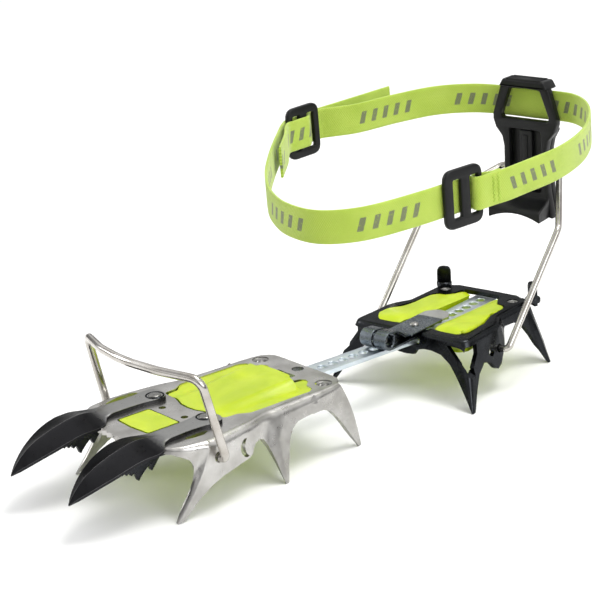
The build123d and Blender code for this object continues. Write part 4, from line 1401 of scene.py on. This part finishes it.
def build_buckles():
    """Ladder buckle and slider."""
    buckle_piece("ladder_buckle_moulded", LADDER, 26, 32, ((-7.2, 5.4), (4.4, 5.4)), "ladder_buckle")
    buckle_piece("slider_buckle_moulded", SLIDER, 25, 31, ((-5.7, 5.2), (5.7, 5.2)), "slider_buckle")


def build_stitches():
    """Zigzag bar tacks on the webbing's fold beside the ladder buckle."""
    threads = []
    for row in (-19.0, -22.4):
        points = []
        for k in range(15):
            h = -7.6 + 15.2 * k / 14
            px, py = beside(LADDER, row + (0.8 if k % 2 else -0.8), LAYER + 0.7)
            points.append((px, py, h))
        threads.append(tube(f"stitch_{row}", points, 0.28, THREAD, LOOP, [0.25] * 13, 8))
    piece = join("strap_stitches", threads)
    assign(piece, "heel_lever")


# ---- stage -----------------------------------------------------------------------------------
CAMERA_LENS, CAMERA_SENSOR = 119.26, 36
CAMERA_PLACE = Vector((856.8, 628.3, 416.7))
CAMERA_AHEAD = Vector((-0.7304, -0.6035, -0.32)).normalized()
CAMERA_ROLL = radians(-3.38)


def build_stage():
    """Pale floor, soft lights and the camera."""
    mesh = bpy.data.meshes.new("floor")
    size = 6.0
    corners = [(-size, -size, 0), (size, -size, 0), (size, size, 0), (-size, size, 0)]
    mesh.from_pydata(corners, [], [(0, 1, 2, 3)])
    floor = add_object("floor", mesh)
    mesh.materials.append(FLOOR)
    floor.location.z = -0.0003

    world = bpy.data.worlds.new("studio")
    bpy.context.scene.world = world
    world.use_nodes = True
    tree = world.node_tree
    background = tree.nodes["Background"]
    background.inputs["Strength"].default_value = 1.45
    coordinate = tree.nodes.new("ShaderNodeTexCoord")
    split = tree.nodes.new("ShaderNodeSeparateXYZ")
    tree.links.new(coordinate.outputs["Generated"], split.inputs["Vector"])
    height = ramp(tree, split.outputs["Z"], [(0.0, 0.34), (0.25, 0.52), (0.50, 0.80), (0.80, 1.0)])
    blotches = noise(tree, coordinate.outputs["Generated"], 1.9, 1.0, 0.4)
    panels = ramp(tree, blotches, [(0.40, 0.35), (0.60, 1.0)])
    tree.links.new(multiplied(tree, height, panels), background.inputs["Color"])

    centre = HEEL @ Vector((60, -20, 40))
    for name, offset, size, power, colour in (
        ("key", (-0.3, 0.4, 1.6), 0.7, 17, (1.0, 0.99, 0.97)),
        ("fill", (0.3, 1.6, 0.8), 0.9, 9, (0.97, 0.98, 1.0)),
        ("rim", (0.5, -1.6, 0.8), 0.7, 9, (1.0, 1.0, 1.0)),
    ):
        lamp = bpy.data.lights.new(name, "AREA")
        lamp.size = size
        lamp.energy = power
        lamp.color = colour
        holder = add_object(name, lamp)
        holder.location = centre + Vector(offset)
        holder.rotation_euler = (-Vector(offset)).to_track_quat("-Z", "Y").to_euler()

    camera = bpy.data.cameras.new("camera")
    camera.lens = CAMERA_LENS
    camera.sensor_width = CAMERA_SENSOR
    camera.clip_start, camera.clip_end = 0.01, 50
    eye = add_object("camera", camera)
    eye.location = HEEL @ CAMERA_PLACE
    eye.rotation_mode = "QUATERNION"
    roll = Matrix.Rotation(CAMERA_ROLL, 4, "Z").to_quaternion()
    eye.rotation_quaternion = CAMERA_AHEAD.to_track_quat("-Z", "Y") @ roll
    bpy.context.scene.camera = eye
    settings = bpy.context.scene.view_settings
    settings.view_transform = "Standard"
    settings.look = "None"


build_front_frame()
build_heel_frame()
for side, tag in SIDES:
    build_front_point(side, tag)
    build_teeth(side, tag)
build_rivets()
build_front_plates()
build_heel_plate()
build_bar()
build_bails()
build_clip()
build_lever()
build_strap()
build_stage()
